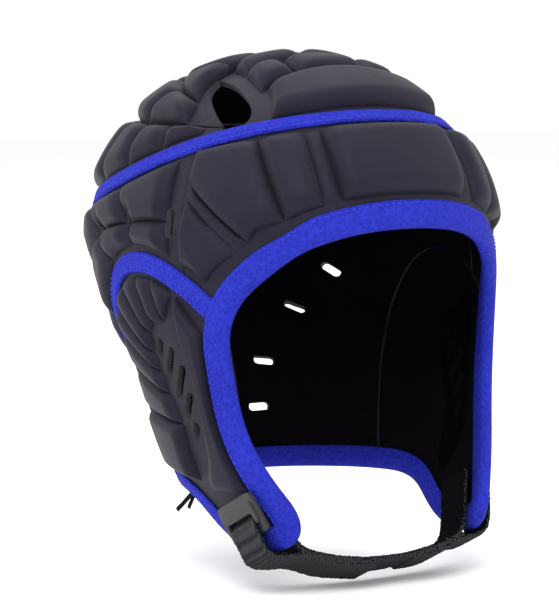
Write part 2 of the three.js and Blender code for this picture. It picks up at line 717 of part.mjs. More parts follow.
// Width of the flat rim that a panel has under each tape, and beside a seam without one
const RIM_ROOM = 1.2;
const CROWN_RIM = CROWN_TAPE_WIDTH / 2 + RIM_ROOM;
const ARCH_RIM = ARCH_TAPE_WIDTH / 2 + RIM_ROOM;
const FACE_RIM = FACE_TAPE_WIDTH + RIM_ROOM;
const NECK_RIM = NECK_TAPE_WIDTH + RIM_ROOM;
const OPEN_RIM = 2.4;

// Forehead panel: from temple to temple, under the crown seam and above the face edge. Its
// lines fan out from the face edge; the temples end in a short upright side above the arch.
function foreheadPanel() {
  const ringEnd = ring.find((turn) => turn >= TEMPLE_TURN);
  const feet = [0, ...BROW_LINES.map((line) => line.foot)];
  const heads = [0, ...BROW_LINES.map((line) => line.head)];
  const footAt = (foot) =>
    foot <= 1
      ? edge.beside(foot * (jointShare - EDGE_INSET / edge.length), EDGE_INSET)
      : arch.beside(THREE.MathUtils.lerp(archStart, templeShare, foot - 1), HALF_GAP);
  const headAt = (head) =>
    head <= 1 ? ring.beside(head * ringEnd, -HALF_GAP) : templeSeam.beside(head - 1, -HALF_GAP);
  const sided = (s, [turn, rise]) => [Math.sign(s) * turn, rise];
  const low = (s) => sided(s, footAt(between(feet, Math.abs(s))));
  const high = (s) => sided(s, headAt(between(heads, Math.abs(s))));
  const lines = BROW_LINES.map((line, i) => {
    const footRim = line.foot <= 1 ? FACE_RIM : ARCH_RIM;
    const reach = liningPoint(...low(i + 1)).distanceTo(liningPoint(...high(i + 1)));
    const headShare = line.head <= 1 ? shareOf(high, low, i + 1, CROWN_RIM) : OPEN_RIM / reach;
    return { near: shareOf(low, high, i + 1, footRim), far: 1 - headShare };
  });
  const nears = [lines[0].near, ...lines.map((line) => line.near)];
  const fars = [lines[0].far, ...lines.map((line) => line.far)];
  const [near, far] = [nears, fars].map((list) => (s) => between(list, s));
  const count = BROW_LINES.length;
  const half = [
    ...borderStrips(count, 1, reached(feet, 1), () => 0, near),
    ...borderStrips(count, 1, reached(heads, 1), far, () => 1),
    ...BROW_LINES.slice(1).map((line, i) =>
      cell(i + 1, i + 2, [near(i + 1), near(i + 2)], [far(i + 1), far(i + 2)], line.lift),
    ),
  ];
  const flip = ({ corners, lift }) => ({
    corners: corners.map(([s, t]) => [-s, t]).reverse(),
    lift,
  });
  const middle = [
    cell(-1, 1, [0, 0], [near(1), near(1)], 0),
    cell(-1, 1, [near(1), near(1)], [far(1), far(1)], BROW_LINES[0].lift),
    cell(-1, 1, [far(1), far(1)], [1, 1], 0),
  ];
  return quilt(ruled(low, high), [...middle, ...half, ...half.map(flip)]);
}

// Back panel of one side: from the temple round to the middle of the back. Its inner border is
// the arch seam, its outer border the crown seam and then the middle of the back, and its last
// line the nape edge.
function backPanel() {
  const ringStart = ring.find((turn) => turn >= TEMPLE_TURN);
  const nape = { inner: 1 - NECK_RIM / arch.length, outer: 2 - NECK_RIM / backSeam.length };
  const inners = [...SIDE_LINES.map((line) => line.inner), nape.inner, 1];
  const outers = [...SIDE_LINES.map((line) => line.outer), nape.outer, 2];
  const insetEnd = 1 - EDGE_INSET / backSeam.length;
  const outerAt = (outer) =>
    outer <= 1
      ? ring.beside(THREE.MathUtils.lerp(ringStart, 1, outer), -HALF_GAP)
      : backSeam.beside(Math.min(outer - 1, insetEnd), -HALF_GAP);
  const low = (s) => arch.beside(THREE.MathUtils.lerp(templeShare, archEnd, between(inners, s)), HALF_GAP);
  const high = (s) => outerAt(between(outers, s));
  const count = inners.length - 1;
  const rims = inners.map((_, i) => ({
    near: shareOf(low, high, i, ARCH_RIM),
    far: 1 - shareOf(high, low, i, outers[i] < 1 ? CROWN_RIM : OPEN_RIM),
  }));
  const near = (s) => between(rims.map((rim) => rim.near), s);
  const far = (s) => between(rims.map((rim) => rim.far), s);
  const splits = [...SIDE_LINES.map((line) => line.split), SIDE_LINES[SIDE_LINES.length - 1].split];
  const lifts = [...SIDE_LINES.map((line) => line.lift), SIDE_LINES[SIDE_LINES.length - 1].lift];
  const cells = [
    ...borderStrips(count, 0, reached(outers, 1), () => 0, near),
    ...borderStrips(count, 0, reached(outers, 1), far, () => 1),
    cell(0, 1, [near(0), near(1)], [far(0), far(1)], 0),
    cell(count - 1, count, [near(count - 1), near(count)], [far(count - 1), far(count)], 0),
  ];
  for (let k = 1; k < count - 1; k += 1) {
    const split = [splits[k], splits[k + 1]];
    cells.push(cell(k, k + 1, [near(k), near(k + 1)], split, lifts[k + 1]));
    cells.push(cell(k, k + 1, split, [far(k), far(k + 1)], lifts[k + 1]));
  }
  const slots = SIDE_SLOTS.map((row) =>
    slotCutter([row.turn, row.rise], [row.endTurn, row.endRise], SIDE_SLOT_WIDTH),
  );
  return cut(quilt(ruled(low, high), cells), slots);
}

// Ear panel: under the arch, from the face edge to the nape edge and down into the chin tab. Its
// lines cross five bands: tape rim, cheek ridge, valley with the ear slots, petals and tape rim.
const EAR_BANDS = 5;
const PETALS_END = EAR_LINES.length;

function earPanel() {
  const count = EAR_LINES.length + 1;
  const column = (name) => EAR_LINES.map((line) => line[name]);
  const onEdge = (share) => edge.beside(share, EDGE_INSET);
  const onArch = (share) => arch.beside(share, -HALF_GAP);
  const rimOf = (line) => (line.edge > tabTipShare ? NECK_RIM : FACE_RIM);
  const edgeShares = [jointShare, ...column("edge"), EAR_REAR[0]];
  const archShares = [EAR_FRONT[EAR_FRONT.length - 1], ...column("arch"), archEnd];
  const [frontStart, ...frontRest] = EAR_FRONT;
  const end = { edge: onEdge(EAR_REAR[EAR_REAR.length - 1]), arch: onArch(archEnd) };
  const chains = [
    [
      onArch(frontStart),
      ...EAR_LINES.map((line) => edge.beside(line.edge, rimOf(line))),
      onEdge(EAR_REAR[1]),
    ],
    [onArch(frontRest[0]), ...EAR_LINES.map((line) => line.ridge), onEdge(EAR_REAR[2])],
    [onArch(frontRest[1]), ...EAR_LINES.map((line) => line.stem), end.edge],
    [
      onArch(frontRest[2]),
      ...EAR_LINES.map((line) => arch.beside(line.arch, -ARCH_RIM)),
      mix(end.edge, end.arch, REAR_PETAL_FOOT),
    ],
  ];
  const alongChain = (chain, s) => {
    const i = Math.min(Math.floor(s), chain.length - 2);
    return mix(chain[i], chain[i + 1], s - i);
  };
  const first = (s) => (s <= 0 ? onArch(archStart) : onEdge(between(edgeShares, s)));
  const last = (s) => onArch(between(archShares, s));
  const bands = [first, ...chains.map((chain) => (s) => alongChain(chain, s)), last];
  const frameAt = (s, t) => {
    const i = Math.min(Math.floor(t), EAR_BANDS - 1);
    return onShell(...mix(bands[i](s), bands[i + 1](s), t - i));
  };
  const box = (from, to, low, high, lift) => cell(from, to, [low, low], [high, high], lift);
  const ridgeEnd = PETALS_END - 1;
  const cells = [
    ...edgeShares.slice(1).map((_, k) => ({ ...box(k, k + 1, 0, 1, 0), facet: TAB_FACET })),
    box(0, 1, 1, EAR_BANDS - 1, 0),
    box(1, ridgeEnd, 1, 2, RIDGE_LIFT),
    box(ridgeEnd, PETALS_END, 1, 2, 0),
    box(1, PETALS_END, 2, 3, 0),
    box(PETALS_END, count, 1, EAR_BANDS - 1, 0),
    box(0, count, EAR_BANDS - 1, EAR_BANDS, 0),
    ...EAR_LINES.slice(1).map((line, i) => box(i + 1, i + 2, 3, 4, line.lift)),
  ];
  const slots = EAR_SLOTS.map((row) =>
    slotCutter([row.turn, row.rise], [row.endTurn, row.endRise], EAR_SLOT_WIDTH),
  );
  return cut(quilt(frameAt, cells), slots);
}

// Crown panels, in plan
const planOf = ({ point }) => [point.x, point.y];
const mirrorPlan = ([x, y]) => [-x, y];

// Smooth line in plan from a place on the shell through rows of the vent's outline
function planTrail(start, rows) {
  const rest = rows.map((row) => [row.aside * HEAD_HALF_WIDTH, -row.ahead * HEAD_FRONT]);
  const points = [start, ...rest].map(([x, y]) => new THREE.Vector3(x, y, 0));
  const curve = new THREE.CatmullRomCurve3(points, false, "centripetal");
  return (t) => curve.getPoint(t).toArray().slice(0, 2);
}

// Patch in plan between four borders: near and far along s, left and right along t. The bulge
// of the left and right borders fades out towards the middle.
const BULGE_FADE = 4;

function planPatch({ near, far, left, right }) {
  const bulge = (side, t) => side(t).map((value, i) => value - mix(side(0), side(1), t)[i]);
  return (s, t) => {
    const [fromLeft, fromRight] = [(1 - s) ** BULGE_FADE, s ** BULGE_FADE];
    const [leftward, rightward] = [bulge(left, t), bulge(right, t)];
    const straight = mix(near(s), far(s), t);
    return straight.map((value, i) => value + fromLeft * leftward[i] + fromRight * rightward[i]);
  };
}

// Crown panel between a seam and the line across the top that runs from vent to vent
function crownPatch(seamAt, ventRows, offset) {
  const right = planTrail(seamAt(1), ventRows);
  const [x, y] = right(1);
  return planPatch({
    near: seamAt,
    far: (s) => [THREE.MathUtils.lerp(-x, x, s), y + offset],
    left: (t) => mirrorPlan(right(t)).map((value, i) => value + i * offset * t),
    right: (t) => right(t).map((value, i) => value + i * offset * t),
  });
}

// Crown cells from rows of cuts
function crownPanel(patch, rows) {
  const cells = rows.flatMap(({ near, far, cuts, lifts }) =>
    lifts.map((lift, i) => cell(cuts[i], cuts[i + 1], [near, near], [far, far], lift)),
  );
  return quilt((s, t) => onDome(...patch(s, t)), cells);
}

const seamRise = HALF_GAP / (CROWN_RISE * QUARTER);

function crownFrontPanel() {
  const seamAt = (s) => {
    const turn = THREE.MathUtils.lerp(-VENT_FRONT_TURN, VENT_FRONT_TURN, s);
    return planOf(onShell(turn, ringRise(turn) + seamRise));
  };
  return crownPanel(crownPatch(seamAt, VENT_FRONT_EDGE, -HALF_GAP), CROWN_FRONT_ROWS);
}

function crownRearPanel() {
  const seamAt = (s) => {
    const turn = THREE.MathUtils.lerp(-VENT_REAR_TURN, VENT_REAR_TURN - 360, s);
    return planOf(onShell(turn, REAR_SEAM_RISE + seamRise));
  };
  return crownPanel(crownPatch(seamAt, VENT_REAR_EDGE, SEAM_GAP), CROWN_REAR_ROWS);
}

// Band between the crown seam and the rear seam, from vent to vent round the back
function crownRearBand() {
  const stops = [
    VENT_REAR_TURN,
    ...shares(REAR_BAND_PADS, BAND_PAD_TURN, 360 - BAND_PAD_TURN),
    360 - VENT_REAR_TURN,
  ];
  const turnAt = (s) => between(stops, s);
  const low = (s) => [turnAt(s), ringRise(turnAt(s)) + seamRise];
  const high = (s) => [turnAt(s), REAR_SEAM_RISE - seamRise];
  const rims = stops.map((_, i) => shareOf(low, high, i, CROWN_RIM));
  const count = stops.length - 1;
  const cells = shares(count - 1, 0, count - 1).flatMap((k) => {
    const rim = [rims[k], rims[k + 1]];
    const lift = k === 0 || k === count - 1 ? 0 : BAND_LIFT;
    return [cell(k, k + 1, [0, 0], rim, 0), cell(k, k + 1, rim, [1, 1], lift)];
  });
  return quilt(ruled(low, high), cells);
}

// Facets along half of the crown tape, along an arch tape, and along half of each edge tape, which
// has closer ones round the chin tab
const CROWN_TAPE_FACETS = 24;
const ARCH_TAPE_FACETS = 22;
const FACE_FACETS = { brow: 17, tab: 9 };
const NECK_FACETS = { tab: 10, nape: 10 };
const ROOM_FACETS = 16;

function crownTape() {
  const half = shares(CROWN_TAPE_FACETS);
  const left = half.map((share) => stationOf(ring, share, 1));
  const right = half.slice(1, -1).reverse().map((share) => stationOf(ring, share, -1));
  return tape([...left, ...right], flatSection(CROWN_TAPE_WIDTH), true);
}

// Stations of a tape round the shell's edge at shares of the edge line, through the middle of
// the cap
function edgeStations(list) {
  const throughBrow = list[0] === 0;
  const left = list.map((share) => stationOf(edge, share, 1));
  const right = list.map((share) => stationOf(edge, share, -1)).reverse();
  return throughBrow ? [...right.slice(0, -1), ...left] : [...left.slice(0, -1), ...right];
}

// Shares of the edge between which the tapes follow the chin tab
const TAB_FROM = 0.47;
const TAB_TO = 0.75;
const faceShares = [
  ...shares(FACE_FACETS.brow, 0, TAB_FROM).slice(0, -1),
  ...shares(FACE_FACETS.tab, TAB_FROM, tabTipShare),
];
const neckShares = [
  ...shares(NECK_FACETS.tab, tabTipShare + tapeEndGap, TAB_TO).slice(0, -1),
  ...shares(NECK_FACETS.nape, TAB_TO, 1),
];
const faceTape = () => tape(edgeStations(faceShares), foldedSection(FACE_TAPE_WIDTH));
const neckTape = () => tape(edgeStations(neckShares), foldedSection(NECK_TAPE_WIDTH));

// Space that an edge tape and its clearance take, across the whole thickness of the shell, and how
// far it runs to either side of the arch's end, as a share of the edge
const ROOM_REACH = 0.1;

function edgeTapeRoom(width, from, to, side) {
  const reach = width + CLEARANCE;
  const tall = 2 * SHEET + PAD_HEIGHT;
  const section = [[-reach, -tall], [reach, -tall], [reach, tall], [-reach, tall]];
  const stations = shares(ROOM_FACETS, from, to).map((share) => stationOf(edge, share, side));
  return tape(stations, section);
}

function archTape(side) {
  const stations = shares(ARCH_TAPE_FACETS).map((share) => stationOf(arch, share, side));
  const whole = tape(stations, flatSection(ARCH_TAPE_WIDTH));
  const faceRoom = edgeTapeRoom(FACE_TAPE_WIDTH, jointShare - ROOM_REACH, jointShare + ROOM_REACH, side);
  const neckRoom = edgeTapeRoom(NECK_TAPE_WIDTH, napeShare - ROOM_REACH, napeShare + ROOM_REACH, side);
  return cut(whole, [faceRoom, neckRoom]);
}

// Frame of the ring on the wearer's right chin tab: across is the strap's width direction, down
// points to the tab's tip and out away from the cheek
const RING_TURN = -72;
const RING_SEAT_RISE = -0.805;
const ringSeat = onShell(RING_TURN, RING_SEAT_RISE);
const across = new THREE.Vector3(0, Math.cos(degrees(STRAP_TILT)), -Math.sin(degrees(STRAP_TILT)));
const out = ringSeat.normal.clone().addScaledVector(across, -ringSeat.normal.dot(across)).normalize();
const down = across.clone().cross(out).normalize();
if (down.z > 0) down.negate();

// Places a flat shape drawn in across and down at a height over the lining
const CORNER_SEGMENTS = 2;

function ringPlace(shape, height, depth) {
  const plate = new THREE.ExtrudeGeometry(shape, { depth, bevelEnabled: false, curveSegments: CORNER_SEGMENTS });
  const frame = new THREE.Matrix4().makeBasis(across, down, across.clone().cross(down));
  const lift = across.clone().cross(down).dot(out) > 0 ? height : -height - depth;
  const origin = ringSeat.point.clone();
  plate.translate(0, 0, lift);
  plate.applyMatrix4(frame.setPosition(origin));
  return solidOf(plate);
}

function roundedBox(path, width, low, high, corner) {
  const half = width / 2;
  path.moveTo(-half + corner, low);
  path.lineTo(half - corner, low);
  path.absarc(half - corner, low + corner, corner, -Math.PI / 2, 0, false);
  path.lineTo(half, high - corner);
  path.absarc(half - corner, high - corner, corner, 0, Math.PI / 2, false);
  path.lineTo(-half + corner, high);
  path.absarc(-half + corner, high - corner, corner, Math.PI / 2, Math.PI, false);
  path.lineTo(-half, low + corner);
  path.absarc(-half + corner, low + corner, corner, Math.PI, 1.5 * Math.PI, false);
  return path;
}

const SLOT_WIDTH = STRAP_WIDTH + SLOT_ROOM;
const SLOT_HEIGHT = STRAP + 2 * SLOT_ROOM;
const RING_SEAT = TAPE_SEAT + TAPE + CLEARANCE;

// A box of the slot's width between two distances below its middle
const slotBox = (low, high) => roundedBox(new THREE.Shape(), SLOT_WIDTH, low, high, SLOT_CORNER);
const strapSlot = () => slotBox(-SLOT_HEIGHT / 2, SLOT_HEIGHT / 2);
const strapSlotCutter = () => ringPlace(strapSlot(), -2 * SHEET, 4 * SHEET);

// The ring: a plate with the slot, and a rim over and beside the slot that is open below it
function strapRing() {
  const low = SLOT_HEIGHT / 2 + RING_BAR;
  const plate = roundedBox(new THREE.Shape(), RING_LENGTH, low - RING_HEIGHT, low, RING_CORNER);
  const top = -SLOT_HEIGHT / 2 - 2 * RING_RIM;
  const rim = roundedBox(new THREE.Shape(), SLOT_WIDTH + 2 * RING_RIM, top, SLOT_HEIGHT / 2, RING_RIM / 2);
  const rimHeight = RING_PLATE / 2 + RING_RIM_RAISE;
  const rimBase = RING_SEAT + RING_PLATE / 2;
  const whole = join([ringPlace(plate, RING_SEAT, RING_PLATE), ringPlace(rim, rimBase, rimHeight)]);
  const slot = ringPlace(strapSlot(), 0, 2 * RING_SEAT);
  const opening = ringPlace(slotBox(-SLOT_HEIGHT / 2, SLOT_HEIGHT), RING_SEAT + RING_PLATE, 2 * rimHeight);
  return cut(whole, [slot, opening]);
}

// The chin strap is flat bands seen along its width, in a plane where the first number runs to
// the wearer's left and the second down and forward
const strapDown = new THREE.Vector3(1, 0, 0).cross(across).negate();
const inStrapPlane = (v) => [v.x, v.dot(strapDown)];
const slotCentre = inStrapPlane(ringSeat.point);
const outward = inStrapPlane(out);
const downward = inStrapPlane(down);

// Place in the strap plane by height over the lining and distance below the slot
const nearTab = (height, below) =>
  slotCentre.map((value, i) => value + height * outward[i] + below * downward[i]);
const nearLeftTab = (height, below) => mirrorPlan(nearTab(height, below));

// Radius of the chin tab's roundness across the strap, which a flat strap stands off from
const TAB_RADIUS = 24;
const STRAP_HOLLOW = (STRAP_WIDTH / 2) ** 2 / (2 * TAB_RADIUS);
const STRAP_INSIDE = INNER_SEAT - TAPE - CLEARANCE - STRAP_HOLLOW - STRAP / 2;
const STRAP_OUTSIDE = TAPE_SEAT + TAPE + CLEARANCE + STRAP / 2;
const STRAP_OVER_RING = RING_SEAT + RING_PLATE + 2 * CLEARANCE + STRAP / 2;
const STRAP_LAYER = STRAP + CLEARANCE;
const TAB_BELOW_SLOT = 17;

// Run under the chin. aside: share of the half width between the tabs. sag: share of CHIN_DROP.
const CHIN_RUN = [
  { aside: 0.74, sag: 0.7 },
  { aside: 0.5, sag: 0.88 },
  { aside: 0.25, sag: 0.97 },
  { aside: 0, sag: 1 },
  { aside: -0.25, sag: 0.97 },
  { aside: -0.5, sag: 0.88 },
  { aside: -0.74, sag: 0.7 },
];
const LEAF_TURN = { aside: 0.88, sag: 0.78 };

const chinPoint = ({ aside, sag }, layer = 0) => [
  -aside * slotCentre[0],
  slotCentre[1] + sag * CHIN_DROP + layer * STRAP_LAYER,
];

// A band of the strap's width and thickness along points in the strap plane
const STRAP_STEPS = 64;
const LEAF_STEPS = 14;

function strapBand(points, steps) {
  const places = points.map(([x, y]) => new THREE.Vector3(x, y, 0));
  const curve = new THREE.CatmullRomCurve3(places, false, "centripetal");
  const start = ringSeat.point.dot(across) - STRAP_WIDTH / 2;
  const place = (x, y, z) =>
    new THREE.Vector3(x, 0, 0).addScaledVector(strapDown, y).addScaledVector(across, z);
  const rings = shares(steps).map((share) => {
    const point = curve.getPointAt(share);
    const tangent = curve.getTangentAt(share);
    const [sideX, sideY] = [(-tangent.y * STRAP) / 2, (tangent.x * STRAP) / 2];
    return [[1, 0], [1, 1], [-1, 1], [-1, 0]].map(([side, end]) =>
      place(point.x + side * sideX, point.y + side * sideY, start + end * STRAP_WIDTH),
    );
  });
  const faces = [];
  rings.slice(1).forEach((next, i) => {
    rings[i].forEach((a, j) => {
      const k = (j + 1) % next.length;
      faces.push([a, next[j], next[k]], [a, next[k], rings[i][k]]);
    });
  });
  [rings[0], [...rings[rings.length - 1]].reverse()].forEach(([a, b, c, d]) => faces.push([a, b, c], [a, c, d]));
  return solid(faces);
}

function chinStrap() {
  const inner = [
    nearLeftTab(STRAP_INSIDE, TAB_BELOW_SLOT - STRAP_PATCH),
    nearLeftTab(STRAP_INSIDE, 0),
    nearLeftTab(STRAP_INSIDE, TAB_BELOW_SLOT),
    ...CHIN_RUN.map((row) => chinPoint(row)),
    nearTab(STRAP_INSIDE, TAB_BELOW_SLOT),
    nearTab(STRAP_INSIDE, 2 * SLOT_HEIGHT),
    nearTab(STRAP_INSIDE, SLOT_HEIGHT),
    nearTab(STRAP_INSIDE / 2, SLOT_ROOM / 2),
    nearTab(SHEET / 2, 0),
    nearTab(RING_SEAT + RING_PLATE / 2, 0),
    nearTab(STRAP_OVER_RING, SLOT_HEIGHT / 2),
    nearTab(STRAP_OVER_RING, SLOT_HEIGHT / 2 + RING_BAR),
    nearTab(STRAP_OVER_RING, TAB_BELOW_SLOT),
    ...CHIN_RUN.slice(-3).reverse().map((row) => chinPoint(row, 1)),
    chinPoint({ aside: -(1 - FREE_END / -slotCentre[0]), sag: 1 }, 1),
  ];
  const leaf = [
    nearLeftTab(STRAP_OUTSIDE, TAB_BELOW_SLOT - STRAP_PATCH),
    nearLeftTab(STRAP_OUTSIDE, TAB_BELOW_SLOT),
    chinPoint(LEAF_TURN),
    chinPoint(CHIN_RUN[0], 1),
    chinPoint(CHIN_RUN[1], 1),
    chinPoint(CHIN_RUN[2], 0.5),
  ];
  return join([strapBand(inner, STRAP_STEPS), strapBand(leaf, LEAF_STEPS)]);
}

// The two ends of the rear lace, from where they leave the lining to their tips
const LACE_ENDS = {
  lace_end_outer: [
    [-52.2, 18.9, -89],
    [-48.4, 12.8, -98],
    [-45.3, 9.2, -107],
    [-47.2, 7.2, -116.5],
    [-52.5, 6.4, -121.5],
    [-58.5, 6, -126.5],
  ],
  lace_end_inner: [
    [-48.1, 24.3, -89],
    [-45.1, 18.6, -98],
    [-42.4, 14.2, -107],
    [-44, 11.4, -116.5],
    [-47.5, 9.9, -121.5],
    [-50.8, 8.6, -126.5],
  ],
};

function laceEnd(points) {
  const section = new THREE.Shape();
  section.absellipse(0, 0, LACE / 2, LACE_WIDTH / 2, 0, 2 * Math.PI);
  const path = new THREE.CatmullRomCurve3(points.map((p) => new THREE.Vector3(...p)));
  return solidOf(new THREE.ExtrudeGeometry(section, { steps: 8, extrudePath: path, curveSegments: 2 }));
}

const MATERIALS = {
  fabric: new THREE.MeshStandardMaterial({ color: 0x2b2a33, roughness: 0.85, metalness: 0 }),
  tape: new THREE.MeshStandardMaterial({ color: 0x1f25b4, roughness: 0.8, metalness: 0 }),
  strap: new THREE.MeshStandardMaterial({ color: 0x1b1d1f, roughness: 0.95, metalness: 0 }),
  ring: new THREE.MeshStandardMaterial({ color: 0x2d2f31, roughness: 0.55, metalness: 0 }),
};

const cap = new THREE.Group();
cap.position.z = -CROWN_RISE;

function addPiece(name, whole, material) {
  const mesh = whole.getMesh();
  const geometry = new THREE.BufferGeometry();
  geometry.setAttribute("position", new THREE.BufferAttribute(new Float32Array(mesh.vertProperties), 3));
  geometry.setIndex(new THREE.BufferAttribute(new Uint32Array(mesh.triVerts), 1));
  const piece = new THREE.Mesh(geometry, material);
  piece.name = name;
  cap.add(piece);
}

addPiece("crown_front_panel", crownFrontPanel(), MATERIALS.fabric);
addPiece("crown_rear_panel", crownRearPanel(), MATERIALS.fabric);
addPiece("crown_rear_band", crownRearBand(), MATERIALS.fabric);
addPiece("forehead_panel", foreheadPanel(), MATERIALS.fabric);
const leftBack = backPanel();
addPiece("back_panel_left", leftBack, MATERIALS.fabric);
addPiece("back_panel_right", mirrored(leftBack), MATERIALS.fabric);
const leftEar = earPanel();
addPiece("ear_panel_left", leftEar, MATERIALS.fabric);
addPiece("ear_panel_right", cut(mirrored(leftEar), [strapSlotCutter()]), MATERIALS.fabric);
addPiece("crown_tape", crownTape(), MATERIALS.tape);
addPiece("arch_tape_left", archTape(1), MATERIALS.tape);
addPiece("arch_tape_right", archTape(-1), MATERIALS.tape);
addPiece("face_tape", faceTape(), MATERIALS.tape);
addPiece("neck_tape", cut(neckTape(), [strapSlotCutter()]), MATERIALS.tape);
addPiece("strap_ring", strapRing(), MATERIALS.ring);
addPiece("chin_strap", chinStrap(), MATERIALS.strap);
Object.entries(LACE_ENDS).forEach(([name, points]) => addPiece(name, laceEnd(points), MATERIALS.strap));

export default cap;
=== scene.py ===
"""Looks of a rugby scrum cap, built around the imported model.

The shell's chart is turn (degrees from the brow towards the wearer's left) and rise (share of the
quarter turn above the head's widest level, or of the skirt's drop below it). Working lengths are
millimetres from the middle of the head at its widest level. Meshes are written in metres, with
the origin at the crown of the lining.
"""
from __future__ import annotations

import json
import logging
from dataclasses import dataclass, field
from enum import Enum
from typing import Callable, Sequence

import bmesh
import bpy
import numpy as np
from mathutils import Matrix, Vector

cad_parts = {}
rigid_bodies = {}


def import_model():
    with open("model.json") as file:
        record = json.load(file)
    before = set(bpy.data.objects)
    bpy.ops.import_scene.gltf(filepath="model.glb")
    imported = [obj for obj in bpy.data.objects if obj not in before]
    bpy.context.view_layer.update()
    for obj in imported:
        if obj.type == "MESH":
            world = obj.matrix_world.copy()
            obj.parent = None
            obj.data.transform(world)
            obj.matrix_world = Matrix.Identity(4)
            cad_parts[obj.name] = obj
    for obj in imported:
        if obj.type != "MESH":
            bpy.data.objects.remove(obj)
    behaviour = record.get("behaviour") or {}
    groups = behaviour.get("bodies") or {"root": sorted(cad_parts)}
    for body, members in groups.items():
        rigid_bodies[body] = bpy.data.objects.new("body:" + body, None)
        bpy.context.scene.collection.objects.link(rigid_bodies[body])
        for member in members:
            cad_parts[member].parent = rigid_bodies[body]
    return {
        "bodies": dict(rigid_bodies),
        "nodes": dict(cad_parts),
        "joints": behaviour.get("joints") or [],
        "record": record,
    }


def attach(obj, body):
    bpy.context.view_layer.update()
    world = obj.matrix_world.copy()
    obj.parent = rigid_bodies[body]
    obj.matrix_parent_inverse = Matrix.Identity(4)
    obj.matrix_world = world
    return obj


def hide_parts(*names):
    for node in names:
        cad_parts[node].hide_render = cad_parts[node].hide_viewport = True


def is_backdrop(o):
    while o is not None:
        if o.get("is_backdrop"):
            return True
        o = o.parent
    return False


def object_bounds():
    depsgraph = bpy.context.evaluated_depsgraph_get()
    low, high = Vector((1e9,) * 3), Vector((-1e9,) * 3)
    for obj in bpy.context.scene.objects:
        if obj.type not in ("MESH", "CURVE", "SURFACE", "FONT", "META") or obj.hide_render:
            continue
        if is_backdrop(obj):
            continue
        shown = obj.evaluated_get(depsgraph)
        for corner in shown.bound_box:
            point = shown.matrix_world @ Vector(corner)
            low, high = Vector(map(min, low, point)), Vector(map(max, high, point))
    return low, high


LOG = logging.getLogger("scrum_cap")
MM = 0.001
CROWN_RISE = 77.0
ZERO, ONE = np.array(0.0), np.array(1.0)
ROW_STEP = 0.02
TINY = 1e-6


def to_metres(points: np.ndarray) -> np.ndarray:
    """Millimetres from the middle of the head to metres from the crown of the lining."""
    return (points - np.array([0.0, 0.0, CROWN_RISE])) * MM


def unit(vectors: np.ndarray) -> np.ndarray:
    """Vectors along the last axis at length one."""
    return vectors / np.linalg.norm(vectors, axis=-1, keepdims=True)


def lerp(a: np.ndarray, b: np.ndarray, t: np.ndarray) -> np.ndarray:
    """The place a share t of the way from a to b."""
    return a + (b - a) * np.asarray(t)[..., None]


def run_length(points: np.ndarray) -> np.ndarray:
    """Length along a row of points up to each of them, beginning with nought."""
    return np.concatenate([[0], np.cumsum(np.linalg.norm(np.diff(points, axis=0), axis=1))])


def follow(goal: np.ndarray, walk: np.ndarray, values: np.ndarray) -> np.ndarray:
    """Values at given lengths along a run, between the rows that are known."""
    return np.stack([np.interp(goal, walk, values[:, k]) for k in range(values.shape[1])], -1)


def smooth_curve(points: np.ndarray, t: np.ndarray) -> np.ndarray:
    """Centripetal Catmull-Rom curve through points.

    Formula: between two points a cubic whose end slopes come from the neighbours, each weighed
    by the square root of the distance to it.

    Args:
        points: places, one a row.
        t: shares of the count of spans.

    Returns:
        A place for each share.
    """
    whole = np.vstack([2 * points[0] - points[1], points, 2 * points[-1] - points[-2]])
    spans = len(points) - 1
    p = np.clip(t, 0, 1) * spans
    i = np.minimum(p.astype(int), spans - 1)
    w = (p - i)[..., None]
    q = [whole[i + k] for k in range(4)]
    gaps = [np.sqrt(np.linalg.norm(q[k + 1] - q[k], axis=-1, keepdims=True)) for k in range(3)]
    start = (q[1] - q[0]) / gaps[0] - (q[2] - q[0]) / (gaps[0] + gaps[1]) + (q[2] - q[1]) / gaps[1]
    end = (q[2] - q[1]) / gaps[1] - (q[3] - q[1]) / (gaps[1] + gaps[2]) + (q[3] - q[2]) / gaps[2]
    start, end = start * gaps[1], end * gaps[1]
    return (
        q[1]
        + start * w
        + (3 * (q[2] - q[1]) - 2 * start - end) * w**2
        + (2 * (q[1] - q[2]) + start + end) * w**3
    )


